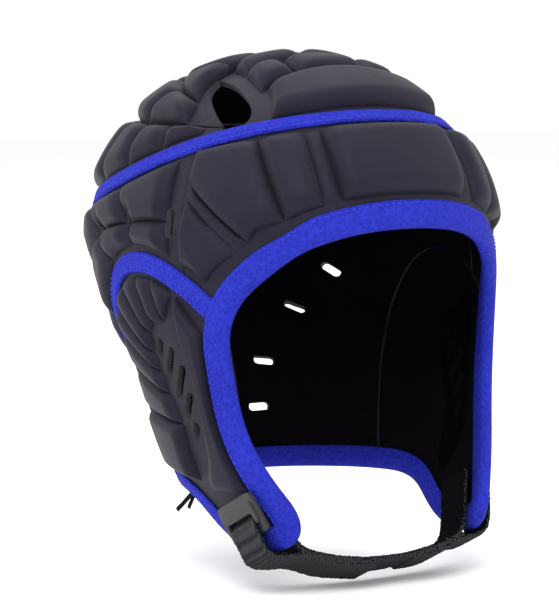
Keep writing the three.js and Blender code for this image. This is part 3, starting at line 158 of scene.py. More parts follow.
@dataclass
class HeadForm:
    """The lining's surface.

    Sizes are millimetres. drops to backs: columns of the level sections, from the widest level
    to the hem, as shares of the skirt, the half width and the front and back reach.
    """

    half_width: float = 82.0
    front: float = 99.0
    back: float = 103.0
    skirt: float = 150.0
    squareness: float = 2.15
    drops: Sequence[float] = (0.0, 0.2, 0.4, 0.6, 0.8, 1.0)
    widths: Sequence[float] = (1.0, 0.985, 0.915, 0.84, 0.715, 0.58)
    forwards: Sequence[float] = (0.0, 0.06, 0.2, 0.32, 0.43, 0.525)
    fronts: Sequence[float] = (1.0, 0.99, 0.9, 0.8, 0.7, 0.62)
    backs: Sequence[float] = (1.0, 0.825, 0.73, 0.757, 0.796, 0.825)
    chart_steps: tuple[float, float] = (0.05, 0.0005)
    plan_steps: tuple[float, float] = (0.05, 0.05)

    def column(self, values: Sequence[float], drop: np.ndarray) -> np.ndarray:
        """Monotone cubic through a column of the level sections.

        Formula: the slope at a section is the harmonic mean of the slopes beside it, or nought
        where they differ in sign.

        Args:
            values: the column, one value for each section.
            drop: shares of the skirt's drop.

        Returns:
            The column's value at each drop.
        """
        x, y = np.array(self.drops), np.array(values)
        slope = np.diff(y) / np.diff(x)
        product = slope[:-1] * slope[1:]
        total = np.where(product > 0, slope[:-1] + slope[1:], 1)
        inner = np.where(product > 0, 2 * product / total, 0)
        tangent = np.concatenate([slope[:1], inner, slope[-1:]])
        i = np.clip(np.searchsorted(x, drop, side="left") - 1, 0, len(slope) - 1)
        span = x[i + 1] - x[i]
        t = np.clip((drop - x[i]) / span, 0, 1)
        first = y[i] * (1 + 2 * t) * (1 - t) ** 2 + tangent[i] * span * t * (1 - t) ** 2
        return first + y[i + 1] * t * t * (3 - 2 * t) + tangent[i + 1] * span * t * t * (t - 1)

    def radius(self, turn: np.ndarray, width: float, front: float, back: float) -> np.ndarray:
        """Radius of a level section.

        Formula: a rounded square, where the turn's sine and cosine over the half axes, each to
        the power of the squareness, add up to one.

        Args:
            turn: radians from the brow.
            width: half width of the section.
            front: its reach to the brow.
            back: its reach to the back.

        Returns:
            The radius at each turn.
        """
        along = np.where(np.cos(turn) > 0, front, back)
        power = self.squareness
        parts = np.abs(np.sin(turn) / width) ** power + np.abs(np.cos(turn) / along) ** power
        return parts ** (-1 / power)

    def lining(self, place: np.ndarray) -> np.ndarray:
        """Points of the lining.

        Formula: above the widest level a quarter ellipse up to the crown; below it the columns'
        sections, set forward by their own share.

        Args:
            place: turn in degrees and rise, along the last axis.

        Returns:
            A point for each place.
        """
        turn, rise = np.radians(place[..., 0]), place[..., 1]
        climb = np.clip(rise, 0, 1) * np.pi / 2
        drop = np.clip(-rise, 0, 1)
        width = self.column(self.widths, drop) * self.half_width
        front = self.column(self.fronts, drop) * self.front
        back = self.column(self.backs, drop) * self.back
        forward = self.column(self.forwards, drop) * self.front
        radius = self.radius(turn, width, front, back) * np.cos(climb)
        height = np.where(rise >= 0, CROWN_RISE * np.sin(climb), rise * self.skirt)
        return np.stack([radius * np.sin(turn), -radius * np.cos(turn) - forward, height], -1)

    def dome(self, place: np.ndarray) -> np.ndarray:
        """Points of the lining's dome above places in plan.

        Formula: the height is the crown's times the square root of one less the squared share of
        the section's radius.

        Args:
            place: places across and along, in plan.

        Returns:
            A point for each place.
        """
        x, y = place[..., 0], place[..., 1]
        turn = np.arctan2(x, -y)
        reach = np.hypot(x, y) / self.radius(turn, self.half_width, self.front, self.back)
        height = CROWN_RISE * np.sqrt(np.maximum(0, 1 - np.minimum(1, reach) ** 2))
        return np.stack([x, y, height], -1)

    def slopes(self, surface: Callable, place: np.ndarray, steps: Sequence[float]) -> list[np.ndarray]:
        """How a surface's point moves with each number of its place, by central difference.

        Args:
            surface: gives a point for a place.
            place: where it is asked.
            steps: small step of each number.

        Returns:
            One array of slopes for each number.
        """
        result = []
        for axis, step in enumerate(steps):
            shift = np.zeros(2)
            shift[axis] = step
            result.append((surface(place + shift) - surface(place - shift)) / (2 * step))
        return result

    def shell(self, place: np.ndarray) -> tuple[np.ndarray, np.ndarray]:
        """Lining points and outward normals for places of turn and rise."""
        a, b = self.slopes(self.lining, place, self.chart_steps)
        return self.lining(place), unit(np.cross(a, b))

    def cap(self, place: np.ndarray) -> tuple[np.ndarray, np.ndarray]:
        """Lining points and outward normals for places in plan."""
        a, b = self.slopes(self.dome, place, self.plan_steps)
        return self.dome(place), unit(np.cross(a, b))


HEAD = HeadForm()


class Trail:
    """A line on the shell through rows of turn and rise, followed by its length in millimetres."""

    TURN_PER_RISE = 100.0
    STEPS = 240
    HALF_STEP = 0.5

    def __init__(self, rows: Sequence, mirror_start: bool = False, mirror_end: bool = False) -> None:
        """Lays the line through its rows.

        Args:
            rows: turn and rise of the places on the line.
            mirror_start: whether it crosses the middle of the brow at its start.
            mirror_end: whether it crosses the middle of the back at its end.
        """
        points = np.array(rows, float) / [self.TURN_PER_RISE, 1]
        count = len(points)
        if mirror_start:
            points = np.vstack([points[1] * [-1, 1], points])
        if mirror_end:
            points = np.vstack([points, [360 / self.TURN_PER_RISE - points[-2][0], points[-2][1]]])
        spans = len(points) - 1
        first = int(mirror_start)
        t = np.linspace(first, first + count - 1, self.STEPS + 1) / spans
        self.places = smooth_curve(points, t) * [self.TURN_PER_RISE, 1]
        walk = HEAD.lining(self.places)
        self.reach = run_length(walk)
        self.length = self.reach[-1]

    def at(self, share: np.ndarray) -> np.ndarray:
        """Turn and rise at shares of the length."""
        return follow(np.clip(share, 0, 1) * self.length, self.reach, self.places)

    def beside(self, share: np.ndarray, distance: np.ndarray) -> np.ndarray:
        """Turn and rise beside the line by a distance along the shell, positive up.

        Formula: the sideways direction is the normal crossed with the line's; its turn and rise
        solve the two equations of the surface's own slopes.

        Args:
            share: shares of the length.
            distance: millimetres beside the line.

        Returns:
            A place for each share and distance.
        """
        small = self.HALF_STEP / self.length
        place = self.at(share)
        ahead = HEAD.lining(self.at(share + small)) - HEAD.lining(self.at(share - small))
        a, b = HEAD.slopes(HEAD.lining, place, HEAD.chart_steps)
        across = unit(np.cross(unit(np.cross(a, b)), ahead))
        aa, ab, bb = (a * a).sum(-1), (a * b).sum(-1), (b * b).sum(-1)
        ca, cb = (across * a).sum(-1), (across * b).sum(-1)
        scale = distance / (aa * bb - ab * ab)
        return place + np.stack([(ca * bb - cb * ab) * scale, (cb * aa - ca * ab) * scale], -1)

    def first(self, test: Callable[[np.ndarray, np.ndarray], np.ndarray]) -> float:
        """Share of the length at which a test of turn and rise first holds."""
        return self.reach[np.argmax(test(self.places[:, 0], self.places[:, 1]))] / self.length

    def nearest(self, place: np.ndarray) -> float:
        """Share of the length nearest to a place."""
        gaps = np.linalg.norm(HEAD.lining(self.places) - HEAD.lining(place), axis=-1)
        return self.reach[np.argmin(gaps)] / self.length


@dataclass(frozen=True)
class Cell:
    """A cell of a panel.

    corners: four places in the panel's own pair of numbers, in order round it.
    lift: height of its pad as a share of a full pad's.
    net: whether it is only a thin net behind a seam.
    """

    corners: np.ndarray
    lift: float
    net: bool = False


def cell(start: float, end: float, low: Sequence[float], high: Sequence[float], lift: float) -> Cell:
    """A cell between two lines of a panel, by its low and high share on each."""
    return Cell(np.array([[start, low[0]], [end, low[1]], [end, high[1]], [start, high[0]]]), lift)


@dataclass
class Sizes:
    """Thicknesses and widths, in millimetres."""

    sheet: float = 3.0
    pad: float = 7.0
    seam: float = 1.2
    clearance: float = 0.3
    sag: float = 0.45
    tape: float = 1.3
    crown_tape: float = 7.5
    arch_tape: float = 9.5
    face_tape: float = 11.0
    neck_tape: float = 9.0
    rim_room: float = 1.2
    open_rim: float = 2.4
    side_slot: float = 4.0
    ear_slot: float = 4.5
    grid: float = 1.25
    net: float = 0.4

    @property
    def inset(self) -> float:
        """Distance of a sheet from the shell's edge line."""
        return self.tape + self.clearance + self.sag

    @property
    def seat(self) -> float:
        """Height at which a tape lies."""
        return self.sheet + self.clearance + self.sag

    @property
    def inner_seat(self) -> float:
        """Height of a folded tape's inner leg."""
        return -self.clearance - self.sag


SIZE = Sizes()


class Lines:
    """The lines of the cap: its edge, the seam over the ear, the crown seam and upright seams."""

    EDGE = (
        (0, 0.072), (16, 0.052), (29, -0.006), (39, -0.08), (48, -0.16), (54.5, -0.26), (58.5, -0.38),
        (60.5, -0.5), (59.5, -0.6), (55, -0.7), (50, -0.775), (50.5, -0.835), (58, -0.878), (72, -0.897),
        (86, -0.893), (97, -0.867), (104, -0.83), (110, -0.79), (119, -0.766), (132, -0.762),
        (155, -0.766), (180, -0.768),
    )
    ARCH = (
        (52.5, -0.228), (58, -0.182), (63, -0.141), (69, -0.106), (78, -0.071), (86, -0.062),
        (96, -0.076), (104, -0.12), (110, -0.19), (115, -0.27), (121, -0.4), (125, -0.52),
        (128, -0.64), (130, -0.762),
    )
    TEMPLE = 66.0
    RING_MIDDLE, RING_SWING = 0.275, 0.22
    TAB_RISE, TAB_TURN = -0.8, 64.0

    def __init__(self) -> None:
        """Lays the lines out and finds where they meet."""
        self.edge = Trail(self.EDGE, mirror_start=True, mirror_end=True)
        self.arch = Trail(self.ARCH)
        self.ring = Trail([(t, float(self.ring_rise(t))) for t in range(0, 181, 10)], True, True)
        self.temple = self.arch.first(lambda turn, _: turn > self.TEMPLE)
        foot = self.arch.at(self.temple)[1]
        self.temple_seam = self.upright(self.TEMPLE, self.ring_rise(self.TEMPLE), foot)
        self.back_seam = self.upright(180, self.ring_rise(180), self.edge.at(1)[1])
        shell = HEAD.lining(self.edge.places)
        seam = HEAD.lining(self.arch.places)
        self.arch_gap = np.array([np.linalg.norm(shell - p, axis=1).min() for p in seam])
        self.arch_start = self.arch.reach[np.argmax(self.arch_gap > SIZE.inset)] / self.arch.length
        self.arch_end = 1 - SIZE.inset / self.arch.length
        self.joint = self.edge.nearest(self.arch.at(0))
        self.tip = self.edge.first(lambda turn, rise: (rise < self.TAB_RISE) & (turn > self.TAB_TURN))

    def ring_rise(self, turn: np.ndarray) -> np.ndarray:
        """Rise of the crown seam: higher at the brow by the cosine of the turn."""
        return self.RING_MIDDLE + self.RING_SWING * np.cos(np.radians(turn))

    def upright(self, turn: float, high: float, low: float) -> Trail:
        """A straight seam down the shell at one turn."""
        return Trail([(turn, high), (turn, (high + low) / 2), (turn, low)])


LINES = Lines()


def rim_share(near: Callable, far: Callable, s: float, distance: float) -> float:
    """Share of a panel's line, from its end on one border, within a distance of that border.

    Formula: the distance over the part of the line that runs square to the border.

    Args:
        near: the border that the distance is kept from.
        far: the border at the line's other end.
        s: count of the line.
        distance: millimetres.

    Returns:
        The share.
    """
    line = HEAD.lining(far(np.array(s))) - HEAD.lining(near(np.array(s)))
    along = unit(HEAD.lining(near(np.array(s + ROW_STEP))) - HEAD.lining(near(np.array(s - ROW_STEP))))
    return float(distance / np.linalg.norm(line - along * (along @ line)))


def knots(values: Sequence[float]) -> Callable[[np.ndarray], np.ndarray]:
    """Value that a run through rows reaches between two of the rows, counted from 0."""
    places = np.arange(len(values))
    return lambda s: np.interp(s, places, values)


def reached(values: Sequence[float], goal: float) -> float:
    """Count of rows, with its fraction, at which a rising column reaches a value."""
    return float(np.interp(goal, values, np.arange(len(values))))


def border_strips(count: int, start: int, corner: float, low: Callable, high: Callable) -> list[Cell]:
    """Plain strips along a border, cut where the border turns a corner.

    Args:
        count: rows of the panel.
        start: first row.
        corner: row, with its fraction, where the border turns.
        low: low side of the strip by row.
        high: its high side.

    Returns:
        The strips.
    """
    strips = []
    for k in range(start, count):
        stops = [k, corner, k + 1] if k < corner < k + 1 else [k, k + 1]
        for a, b in zip(stops, stops[1:]):
            strips.append(cell(a, b, [low(a), low(b)], [high(a), high(b)], 0))
    return strips


@dataclass
class Slab:
    """Closed pieces of a panel.

    vertices, quads: of each piece. kinds: of each quad, 0 outer, 1 wall, 2 lining.
    """

    vertices: list[np.ndarray] = field(default_factory=list)
    quads: list[np.ndarray] = field(default_factory=list)
    kinds: list[np.ndarray] = field(default_factory=list)
    count: int = 0

    def add(self, top: np.ndarray, low: np.ndarray, keep: np.ndarray, kinds: tuple = (0, 1, 2)) -> None:
        """Adds a closed piece between two grids.

        Formula: quads of the kept cells above and, turned over, below; a wall under each edge of
        a kept quad that no other kept quad shares.

        Args:
            top: grid of outer points.
            low: grid of inner points.
            keep: which cells of the grid are kept.
            kinds: finishes of the outer face, the walls and the inner face.
        """
        n, m = top.shape[:2]
        index = np.arange(n * m).reshape(n, m)
        corners = [index[:-1, :-1], index[1:, :-1], index[1:, 1:], index[:-1, 1:]]
        upper = np.stack([c[keep] for c in corners], -1)
        if not len(upper):
            return
        start, end = upper.ravel(), np.roll(upper, -1, axis=1).ravel()
        total = n * m
        free = ~np.isin(start * total + end, end * total + start)
        start, end = start[free], end[free]
        walls = np.stack([end, start, start + total, end + total], -1)
        lower = upper[:, ::-1] + total
        vertices = np.concatenate([top.reshape(-1, 3), low.reshape(-1, 3)])
        self.vertices.append(vertices)
        self.quads.append(facing_out(vertices, np.concatenate([upper, walls, lower])) + self.count)
        self.kinds.append(np.repeat(kinds, [len(upper), len(walls), len(lower)]))
        self.count += 2 * total


@dataclass
class Slot:
    """A slot through a panel, with round ends."""

    start: tuple[float, float]
    end: tuple[float, float]
    width: float

    def gap(self, points: np.ndarray) -> tuple[np.ndarray, np.ndarray]:
        """How far points lie from the slot's edge.

        Formula: the distance to the nearest point of the middle line, less half the width.

        Args:
            points: the points.

        Returns:
            Distances, negative inside, and the ways out from the middle line.
        """
        a, b = (HEAD.lining(np.array(p, float)) for p in (self.start, self.end))
        along = b - a
        length = np.linalg.norm(along)
        along = along / length
        half = self.width / 2
        t = np.clip((points - a) @ along, half, length - half)
        out = points - (a + t[..., None] * along)
        reach = np.linalg.norm(out, axis=-1)
        return reach - half, out / np.maximum(reach, TINY)[..., None]


@dataclass
class Panel:
    """A padded panel: quilted cells over a sheet of foam.

    frame: gives points of the lining and normals for the panel's pair of numbers. shoulder:
    millimetres over which a pad rises. backed: whether a net lies behind its slots. seams: shares
    across at which it is stitched.
    """

    name: str
    frame: Callable[[np.ndarray, np.ndarray], tuple[np.ndarray, np.ndarray]]
    cells: list[Cell]
    slots: list[Slot] = field(default_factory=list)
    mirrored: bool = False
    shoulder: float = 8.0
    backed: bool = False
    seams: tuple[float, ...] = ()

    PROBES = 13
    FULLNESS, ROOT = 2.3, 1.5
    SLOT_REACH, SLOT_FLOOR = 5.0, 0.25
    SNAP = 0.6
    NET_KINDS = (2, 2, 2)

    def profile(self, distance: np.ndarray) -> np.ndarray:
        """Height share of a pad at a distance from a crease: a steep quarter round, then flat."""
        t = np.clip(distance / self.shoulder, 0, 1)
        return (1 - (1 - t) ** self.FULLNESS) ** (1 / self.ROOT)

    def within(self, item: Cell, a: np.ndarray, b: np.ndarray) -> tuple[np.ndarray, np.ndarray]:
        """Frame at shares across and along a cell.

        Formula: the four corners blended across, then along.

        Args:
            item: the cell.
            a: shares across.
            b: shares along.

        Returns:
            Points of the lining and normals.
        """
        p, q, r, s = item.corners
        place = lerp(lerp(p, q, a), lerp(s, r, a), b)
        return self.frame(place[..., 0], place[..., 1])

    def grid(self, item: Cell) -> tuple[np.ndarray, np.ndarray, np.ndarray]:
        """A cell's grid, one grid width apart at its widest.

        Formula: the height share is the profile of the distance to the nearer side, once across
        and once along, multiplied.

        Args:
            item: the cell.

        Returns:
            Points of the lining, normals and height shares.
        """
        line = np.linspace(0, 1, self.PROBES)
        cross, _ = self.within(item, *np.meshgrid(line, line, indexing="ij"))
        wide = np.linalg.norm(np.diff(cross, axis=0), axis=-1).sum(0)
        tall = np.linalg.norm(np.diff(cross, axis=1), axis=-1).sum(1)
        counts = [max(2, int(round(size.max() / SIZE.grid))) for size in (wide, tall)]
        a, b = np.meshgrid(*(np.linspace(0, 1, c + 1) for c in counts), indexing="ij")
        across = np.minimum(a, 1 - a) * np.interp(b, line, wide)
        along = np.minimum(b, 1 - b) * np.interp(a, line, tall)
        points, normals = self.within(item, a, b)
        return points, normals, self.profile(across) * self.profile(along)

    def pierce(self, points: np.ndarray) -> tuple[np.ndarray, np.ndarray, np.ndarray]:
        """Cuts the slots out of a grid.

        Formula: points near an outline move onto it; the height falls by the square root of the
        distance to it, down to a floor.

        Args:
            points: the grid's points.

        Returns:
            Moved points, the share of height that stays, and which cells of the grid are kept.
        """
        fall = np.ones(points.shape[:2])
        inside = np.full(fall.shape, np.inf)
        for slot in self.slots:
            gap, out = slot.gap(points)
            snap = np.abs(gap) < self.SNAP * SIZE.grid
            points = np.where(snap[..., None], points - out * gap[..., None], points)
            gap = np.where(snap, 0, gap)
            near = np.sqrt(np.clip(gap / self.SLOT_REACH, 0, 1))
            fall *= near * (1 - self.SLOT_FLOOR) + self.SLOT_FLOOR
            inside = np.minimum(inside, gap)
        kept = inside > -TINY
        return points, fall, kept[:-1, :-1] & kept[1:, :-1] & kept[1:, 1:] & kept[:-1, 1:]

    def build(self) -> Slab:
        """The panel's cells as closed pieces.

        Formula: height over the lining is the sheet plus the pad's lift times its height share.

        Returns:
            All the pieces.
        """
        slab = Slab()
        for item in self.cells:
            points, normals, shape = self.grid(item)
            whole = np.ones([size - 1 for size in shape.shape], bool)
            keep = np.zeros_like(whole)
            if not item.net:
                points, fall, keep = self.pierce(points)
                height = SIZE.sheet + item.lift * SIZE.pad * shape * fall
                slab.add(points + normals * height[..., None], points, keep)
            if item.net or (self.backed and not keep.all()):
                slab.add(points + normals * SIZE.net, points, whole, self.NET_KINDS)
        if self.mirrored:
            slab.vertices = [v * np.array([-1.0, 1.0, 1.0]) for v in slab.vertices]
            slab.quads = [quad[:, ::-1] for quad in slab.quads]
        return slab


class PanelMaker:
    """Lays out the cells of each panel.

    BROW: lines between the folds of the forehead, each with its foot as a share of the face edge,
    past 1 of the arch, its head as a share of the crown seam, past 1 of the temple seam, and the
    lift of the cell before it. SIDE: columns of the back panels by arch, upper border and split.
    EAR: petals by face edge, ridge, valley, arch and lift. The vents' outlines are shares of the
    half width and the front reach. The rows are shares from the seam, cuts across and lifts.
    """

    BROW = (
        (0.3, 0.35, 1), (0.385, 0.43, 0.25), (0.54, 0.66, 0.8), (0.66, 1.27, 0.8), (0.74, 1.38, 0.35),
        (1.93, 1.8, 0.7),
    )
    SIDE = (
        (0.0, 0.0, 0.39, 0), (0.05, 0.04, 0.39, 0), (0.2, 0.28, 0.42, 0.8), (0.34, 0.49, 0.48, 0.8),
        (0.52, 0.86, 0.39, 0.75), (0.64, 1.22, 0.47, 0.7), (0.73, 1.56, 0.68, 0.7), (0.83, 1.77, 0.78, 0.7),
    )
    SIDE_SLOTS = (
        ((70.5, 0.125), (70.5, 0.02)), ((93, 0.111), (90, 0.024)), ((113, 0.055), (109, -0.005)),
        ((139, -0.133), (133, -0.17)), ((153.5, -0.257), (147, -0.285)), ((171, -0.431), (163, -0.44)),
        ((176, -0.581), (168, -0.579)),
    )
    EAR = (
        (0.287, (70.5, -0.15), (72, -0.15), 0.2, 0), (0.315, (70.3, -0.215), (78, -0.236), 0.275, 0.6),
        (0.345, (70.5, -0.28), (84, -0.24), 0.345, 0.6), (0.375, (71.5, -0.35), (88.5, -0.275), 0.43, 0.6),
        (0.405, (73.3, -0.43), (91.5, -0.335), 0.51, 0.6), (0.43, (75.3, -0.51), (92.8, -0.39), 0.585, 0.6),
        (0.455, (79, -0.61), (92.8, -0.455), 0.68, 0.6), (0.468, (90, -0.735), (91, -0.54), 0.79, 0.6),
        (0.715, (94.5, -0.745), (97, -0.71), 0.945, 0.75),
    )
    EAR_FRONT = (0.06, 0.155, 0.17, 0.18, 0.19)
    EAR_REAR = (0.785, 0.792, 0.799, 0.806)
    EAR_SLOTS = (
        ((84, -0.285), (90, -0.345)), ((79.5, -0.306), (89, -0.4)), ((77.5, -0.36), (88, -0.465)),
        ((79, -0.44), (87, -0.52)), ((81.5, -0.53), (86, -0.58)),
    )
    VENT_FRONT = ((0.585, 0.44), (0.49, 0.21), (0.44, -0.03))
    VENT_REAR = ((0.66, 0.25), (0.56, 0.06), (0.44, -0.036))
    FRONT_ROWS = (
        (0, 0.08, (0, 1), (0,)), (0.08, 0.5, (0, 0.13, 0.87, 1), (0, 1, 0)),
        (0.5, 0.77, (0, 0.09, 0.31, 0.69, 0.91, 1), (0, 1, 1, 1, 0)),
        (0.77, 1, (0, 0.1, 0.5, 0.9, 1), (0, 1, 1, 0)),
    )
    REAR_ROWS = (
        (0, 0.4, (0, 0.08, 0.22, 0.36, 0.5, 0.64, 0.78, 0.92, 1), (0, 1, 1, 1, 1, 1, 1, 0)),
        (0.4, 0.86, (0, 0.08, 0.29, 0.5, 0.71, 0.92, 1), (0, 1, 1, 1, 1, 0)),
        (0.86, 1, (0, 0.1, 0.5, 0.9, 1), (0, 0.9, 0.9, 0)),
    )
    FRONT_TURN, REAR_TURN, REAR_RISE = 53.0, 58.0, 0.445
    BAND_TURN, BAND_PADS, BAND_LIFT = 66.0, 12, 0.85
    RIDGE_LIFT, EAR_SHOULDER, REAR_FOOT = 0.65, 6.0, 0.6
    BULGE_POWER = 4
    NET_START, NET_END = 0.98, 1.03
    SEAM_RISE = SIZE.seam / 2 / (CROWN_RISE * np.pi / 2)
    HALF = SIZE.seam / 2

    @staticmethod
    def ruled(low: Callable, high: Callable) -> Callable:
        """Frame of a panel whose lines run from a low border to a high one."""
        return lambda s, t: HEAD.shell(lerp(low(s), high(s), t))

    def forehead(self) -> Panel:
        """The forehead and both temples, with folds that fan out from the face edge.

        Returns:
            The panel.
        """
        edge, arch, ring = LINES.edge, LINES.arch, LINES.ring
        ring_end = ring.first(lambda turn, _: turn >= LINES.TEMPLE)
        foot_rows, head_rows = [0, *(r[0] for r in self.BROW)], [0, *(r[1] for r in self.BROW)]
        feet, heads = knots(foot_rows), knots(head_rows)
        reach = LINES.joint - SIZE.inset / edge.length

        def low(s: np.ndarray) -> np.ndarray:
            """Low border, through the middle of the brow."""
            foot = feet(np.abs(s))
            share = LINES.arch_start + (LINES.temple - LINES.arch_start) * np.maximum(foot - 1, 0)
            on_edge = edge.beside(np.minimum(foot, 1) * reach, SIZE.inset)
            place = np.where((foot <= 1)[..., None], on_edge, arch.beside(share, self.HALF))
            return place * np.stack([np.sign(s), np.ones_like(s, float)], -1)

        def high(s: np.ndarray) -> np.ndarray:
            """High border, through the middle of the brow."""
            head = heads(np.abs(s))
            on_ring = ring.beside(np.minimum(head, 1) * ring_end, -self.HALF)
            down = LINES.temple_seam.beside(np.maximum(head - 1, 0), -self.HALF)
            place = np.where((head <= 1)[..., None], on_ring, down)
            return place * np.stack([np.sign(s), np.ones_like(s, float)], -1)

        nears, fars = [], []
        for i, (foot, head, _) in enumerate(self.BROW, 1):
            rim = (SIZE.face_tape if foot <= 1 else SIZE.arch_tape / 2) + SIZE.rim_room
            nears.append(rim_share(low, high, i, rim))
            row = np.array(float(i))
            top = SIZE.open_rim / np.linalg.norm(HEAD.lining(low(row)) - HEAD.lining(high(row)))
            if head <= 1:
                top = rim_share(high, low, i, SIZE.crown_tape / 2 + SIZE.rim_room)
            fars.append(1 - top)
        near, far = knots([nears[0], *nears]), knots([fars[0], *fars])
        count = len(self.BROW)
        half = border_strips(count, 1, reached(foot_rows, 1), lambda _: 0, near)
        half += border_strips(count, 1, reached(head_rows, 1), far, lambda _: 1)
        for i, row in enumerate(self.BROW[1:], 1):
            half.append(cell(i, i + 1, [near(i), near(i + 1)], [far(i), far(i + 1)], row[2]))
        flipped = [Cell((c.corners * [-1, 1])[::-1], c.lift) for c in half]
        n, f = near(1), far(1)
        middle = [
            cell(-1, 1, [0, 0], [n, n], 0),
            cell(-1, 1, [n, n], [f, f], self.BROW[0][2]),
            cell(-1, 1, [f, f], [1, 1], 0),
        ]
        return Panel("forehead_panel", self.ruled(low, high), middle + half + flipped)

    def back(self, mirrored: bool) -> Panel:
        """From the temple round to the middle of the back, two rows of cells and a row of slots.

        Args:
            mirrored: whether it is the wearer's right one.

        Returns:
            The panel.
        """
        arch, ring, seam = LINES.arch, LINES.ring, LINES.back_seam
        ring_start = ring.first(lambda turn, _: turn >= LINES.TEMPLE)
        neck = SIZE.neck_tape + SIZE.rim_room
        inners = [*(r[0] for r in self.SIDE), 1 - neck / arch.length, 1]
        outers = [*(r[1] for r in self.SIDE), 2 - neck / seam.length, 2 - SIZE.inset / seam.length]
        inner, outer = knots(inners), knots(outers)

        def low(s: np.ndarray) -> np.ndarray:
            """Border along the arch."""
            share = LINES.temple + (LINES.arch_end - LINES.temple) * inner(s)
            return arch.beside(share, self.HALF)

        def high(s: np.ndarray) -> np.ndarray:
            """Border along the crown seam and then down the back."""
            out = outer(s)
            on_ring = ring.beside(ring_start + (1 - ring_start) * np.minimum(out, 1), -self.HALF)
            down = seam.beside(np.maximum(out - 1, 0), -self.HALF)
            return np.where((out <= 1)[..., None], on_ring, down)

        count = len(inners) - 1
        crown = SIZE.crown_tape / 2 + SIZE.rim_room
        arched = SIZE.arch_tape / 2 + SIZE.rim_room
        rims = [crown if out < 1 else SIZE.open_rim for out in outers]
        near = knots([rim_share(low, high, i, arched) for i in range(count + 1)])
        far = knots([1 - rim_share(high, low, i, rim) for i, rim in enumerate(rims)])
        splits = [*(r[2] for r in self.SIDE), self.SIDE[-1][2], self.SIDE[-1][2]]
        lifts = [*(r[3] for r in self.SIDE), self.SIDE[-1][3]]
        corner = reached(outers, 1)
        cells = border_strips(count, 0, corner, lambda _: 0, near)
        cells += border_strips(count, 0, corner, far, lambda _: 1)
        for k in (0, count - 1):
            cells.append(cell(k, k + 1, [near(k), near(k + 1)], [far(k), far(k + 1)], 0))
        for k in range(1, count - 1):
            split = [splits[k], splits[k + 1]]
            cells.append(cell(k, k + 1, [near(k), near(k + 1)], split, lifts[k + 1]))
            cells.append(cell(k, k + 1, split, [far(k), far(k + 1)], lifts[k + 1]))
        slots = [Slot(a, b, SIZE.side_slot) for a, b in self.SIDE_SLOTS]
        name = "back_panel_right" if mirrored else "back_panel_left"
        return Panel(name, self.ruled(low, high), cells, slots, mirrored)

    def ear(self, mirrored: bool) -> Panel:
        """Under the arch and down into the chin tab: cheek ridge, valley with slots, petals.

        Args:
            mirrored: whether it is the wearer's right one.

        Returns:
            The panel.
        """
        edge, arch = LINES.edge, LINES.arch
        face, neck = SIZE.face_tape + SIZE.rim_room, SIZE.neck_tape + SIZE.rim_room
        edges = knots([LINES.joint, *(r[0] for r in self.EAR), self.EAR_REAR[0]])
        arches = knots([self.EAR_FRONT[-1], *(r[3] for r in self.EAR), LINES.arch_end])

        def on_edge(share: float | np.ndarray) -> np.ndarray:
            """Places on the edge of the sheet."""
            return edge.beside(np.asarray(share, float), SIZE.inset)

        def on_arch(share: float | np.ndarray) -> np.ndarray:
            """Places along the arch, half a seam below it."""
            return arch.beside(np.asarray(share, float), -self.HALF)

        end_edge, end_arch = on_edge(self.EAR_REAR[-1]), on_arch(LINES.arch_end)
        rim = [edge.beside(np.array(r[0]), neck if r[0] > LINES.tip else face) for r in self.EAR]
        foot = [arch.beside(np.array(r[3]), -SIZE.arch_tape / 2 - SIZE.rim_room) for r in self.EAR]
        chains = [
            [on_arch(self.EAR_FRONT[0]), *rim, on_edge(self.EAR_REAR[1])],
            [on_arch(self.EAR_FRONT[1]), *(r[1] for r in self.EAR), on_edge(self.EAR_REAR[2])],
            [on_arch(self.EAR_FRONT[2]), *(r[2] for r in self.EAR), end_edge],
            [on_arch(self.EAR_FRONT[3]), *foot, lerp(end_edge, end_arch, self.REAR_FOOT)],
        ]

        def frame(s: np.ndarray, t: np.ndarray) -> tuple[np.ndarray, np.ndarray]:
            """Frame between two of the six lines that bound the bands.

            Args:
                s: rows from the temple to the nape.
                t: lines from the edge to the arch.

            Returns:
                Points of the lining and normals.
            """
            first = np.where((s <= 0)[..., None], on_arch(LINES.arch_start), on_edge(edges(s)))
            bands = [first]
            for chain in chains:
                table = np.array([np.asarray(p, float) for p in chain])
                bands.append(np.stack([knots(table[:, k])(s) for k in range(2)], -1))
            bands = np.stack([*bands, on_arch(arches(s))])
            i = np.clip(np.floor(t).astype(int), 0, 4)
            low = np.take_along_axis(bands, i[None, ..., None], 0)[0]
            high = np.take_along_axis(bands, i[None, ..., None] + 1, 0)[0]
            return HEAD.shell(lerp(low, high, t - i))

        petals = len(self.EAR)
        count, ridge = petals + 1, petals - 1

        def box(start: int, end: int, low: int, high: int, lift: float) -> Cell:
            """A cell between two rows and two lines."""
            return cell(start, end, [low, low], [high, high], lift)

        cells = [box(k, k + 1, 0, 1, 0) for k in range(count)]
        cells += [box(0, 1, 1, 4, 0), box(1, ridge, 1, 2, self.RIDGE_LIFT), box(ridge, petals, 1, 2, 0)]
        cells += [box(1, petals, 2, 3, 0), box(petals, count, 1, 4, 0), box(0, count, 4, 5, 0)]
        cells += [box(i, i + 1, 3, 4, row[4]) for i, row in enumerate(self.EAR[1:], 1)]
        slots = [Slot(a, b, SIZE.ear_slot) for a, b in self.EAR_SLOTS]
        name = "ear_panel_right" if mirrored else "ear_panel_left"
        return Panel(name, frame, cells, slots, mirrored, self.EAR_SHOULDER, backed=True)

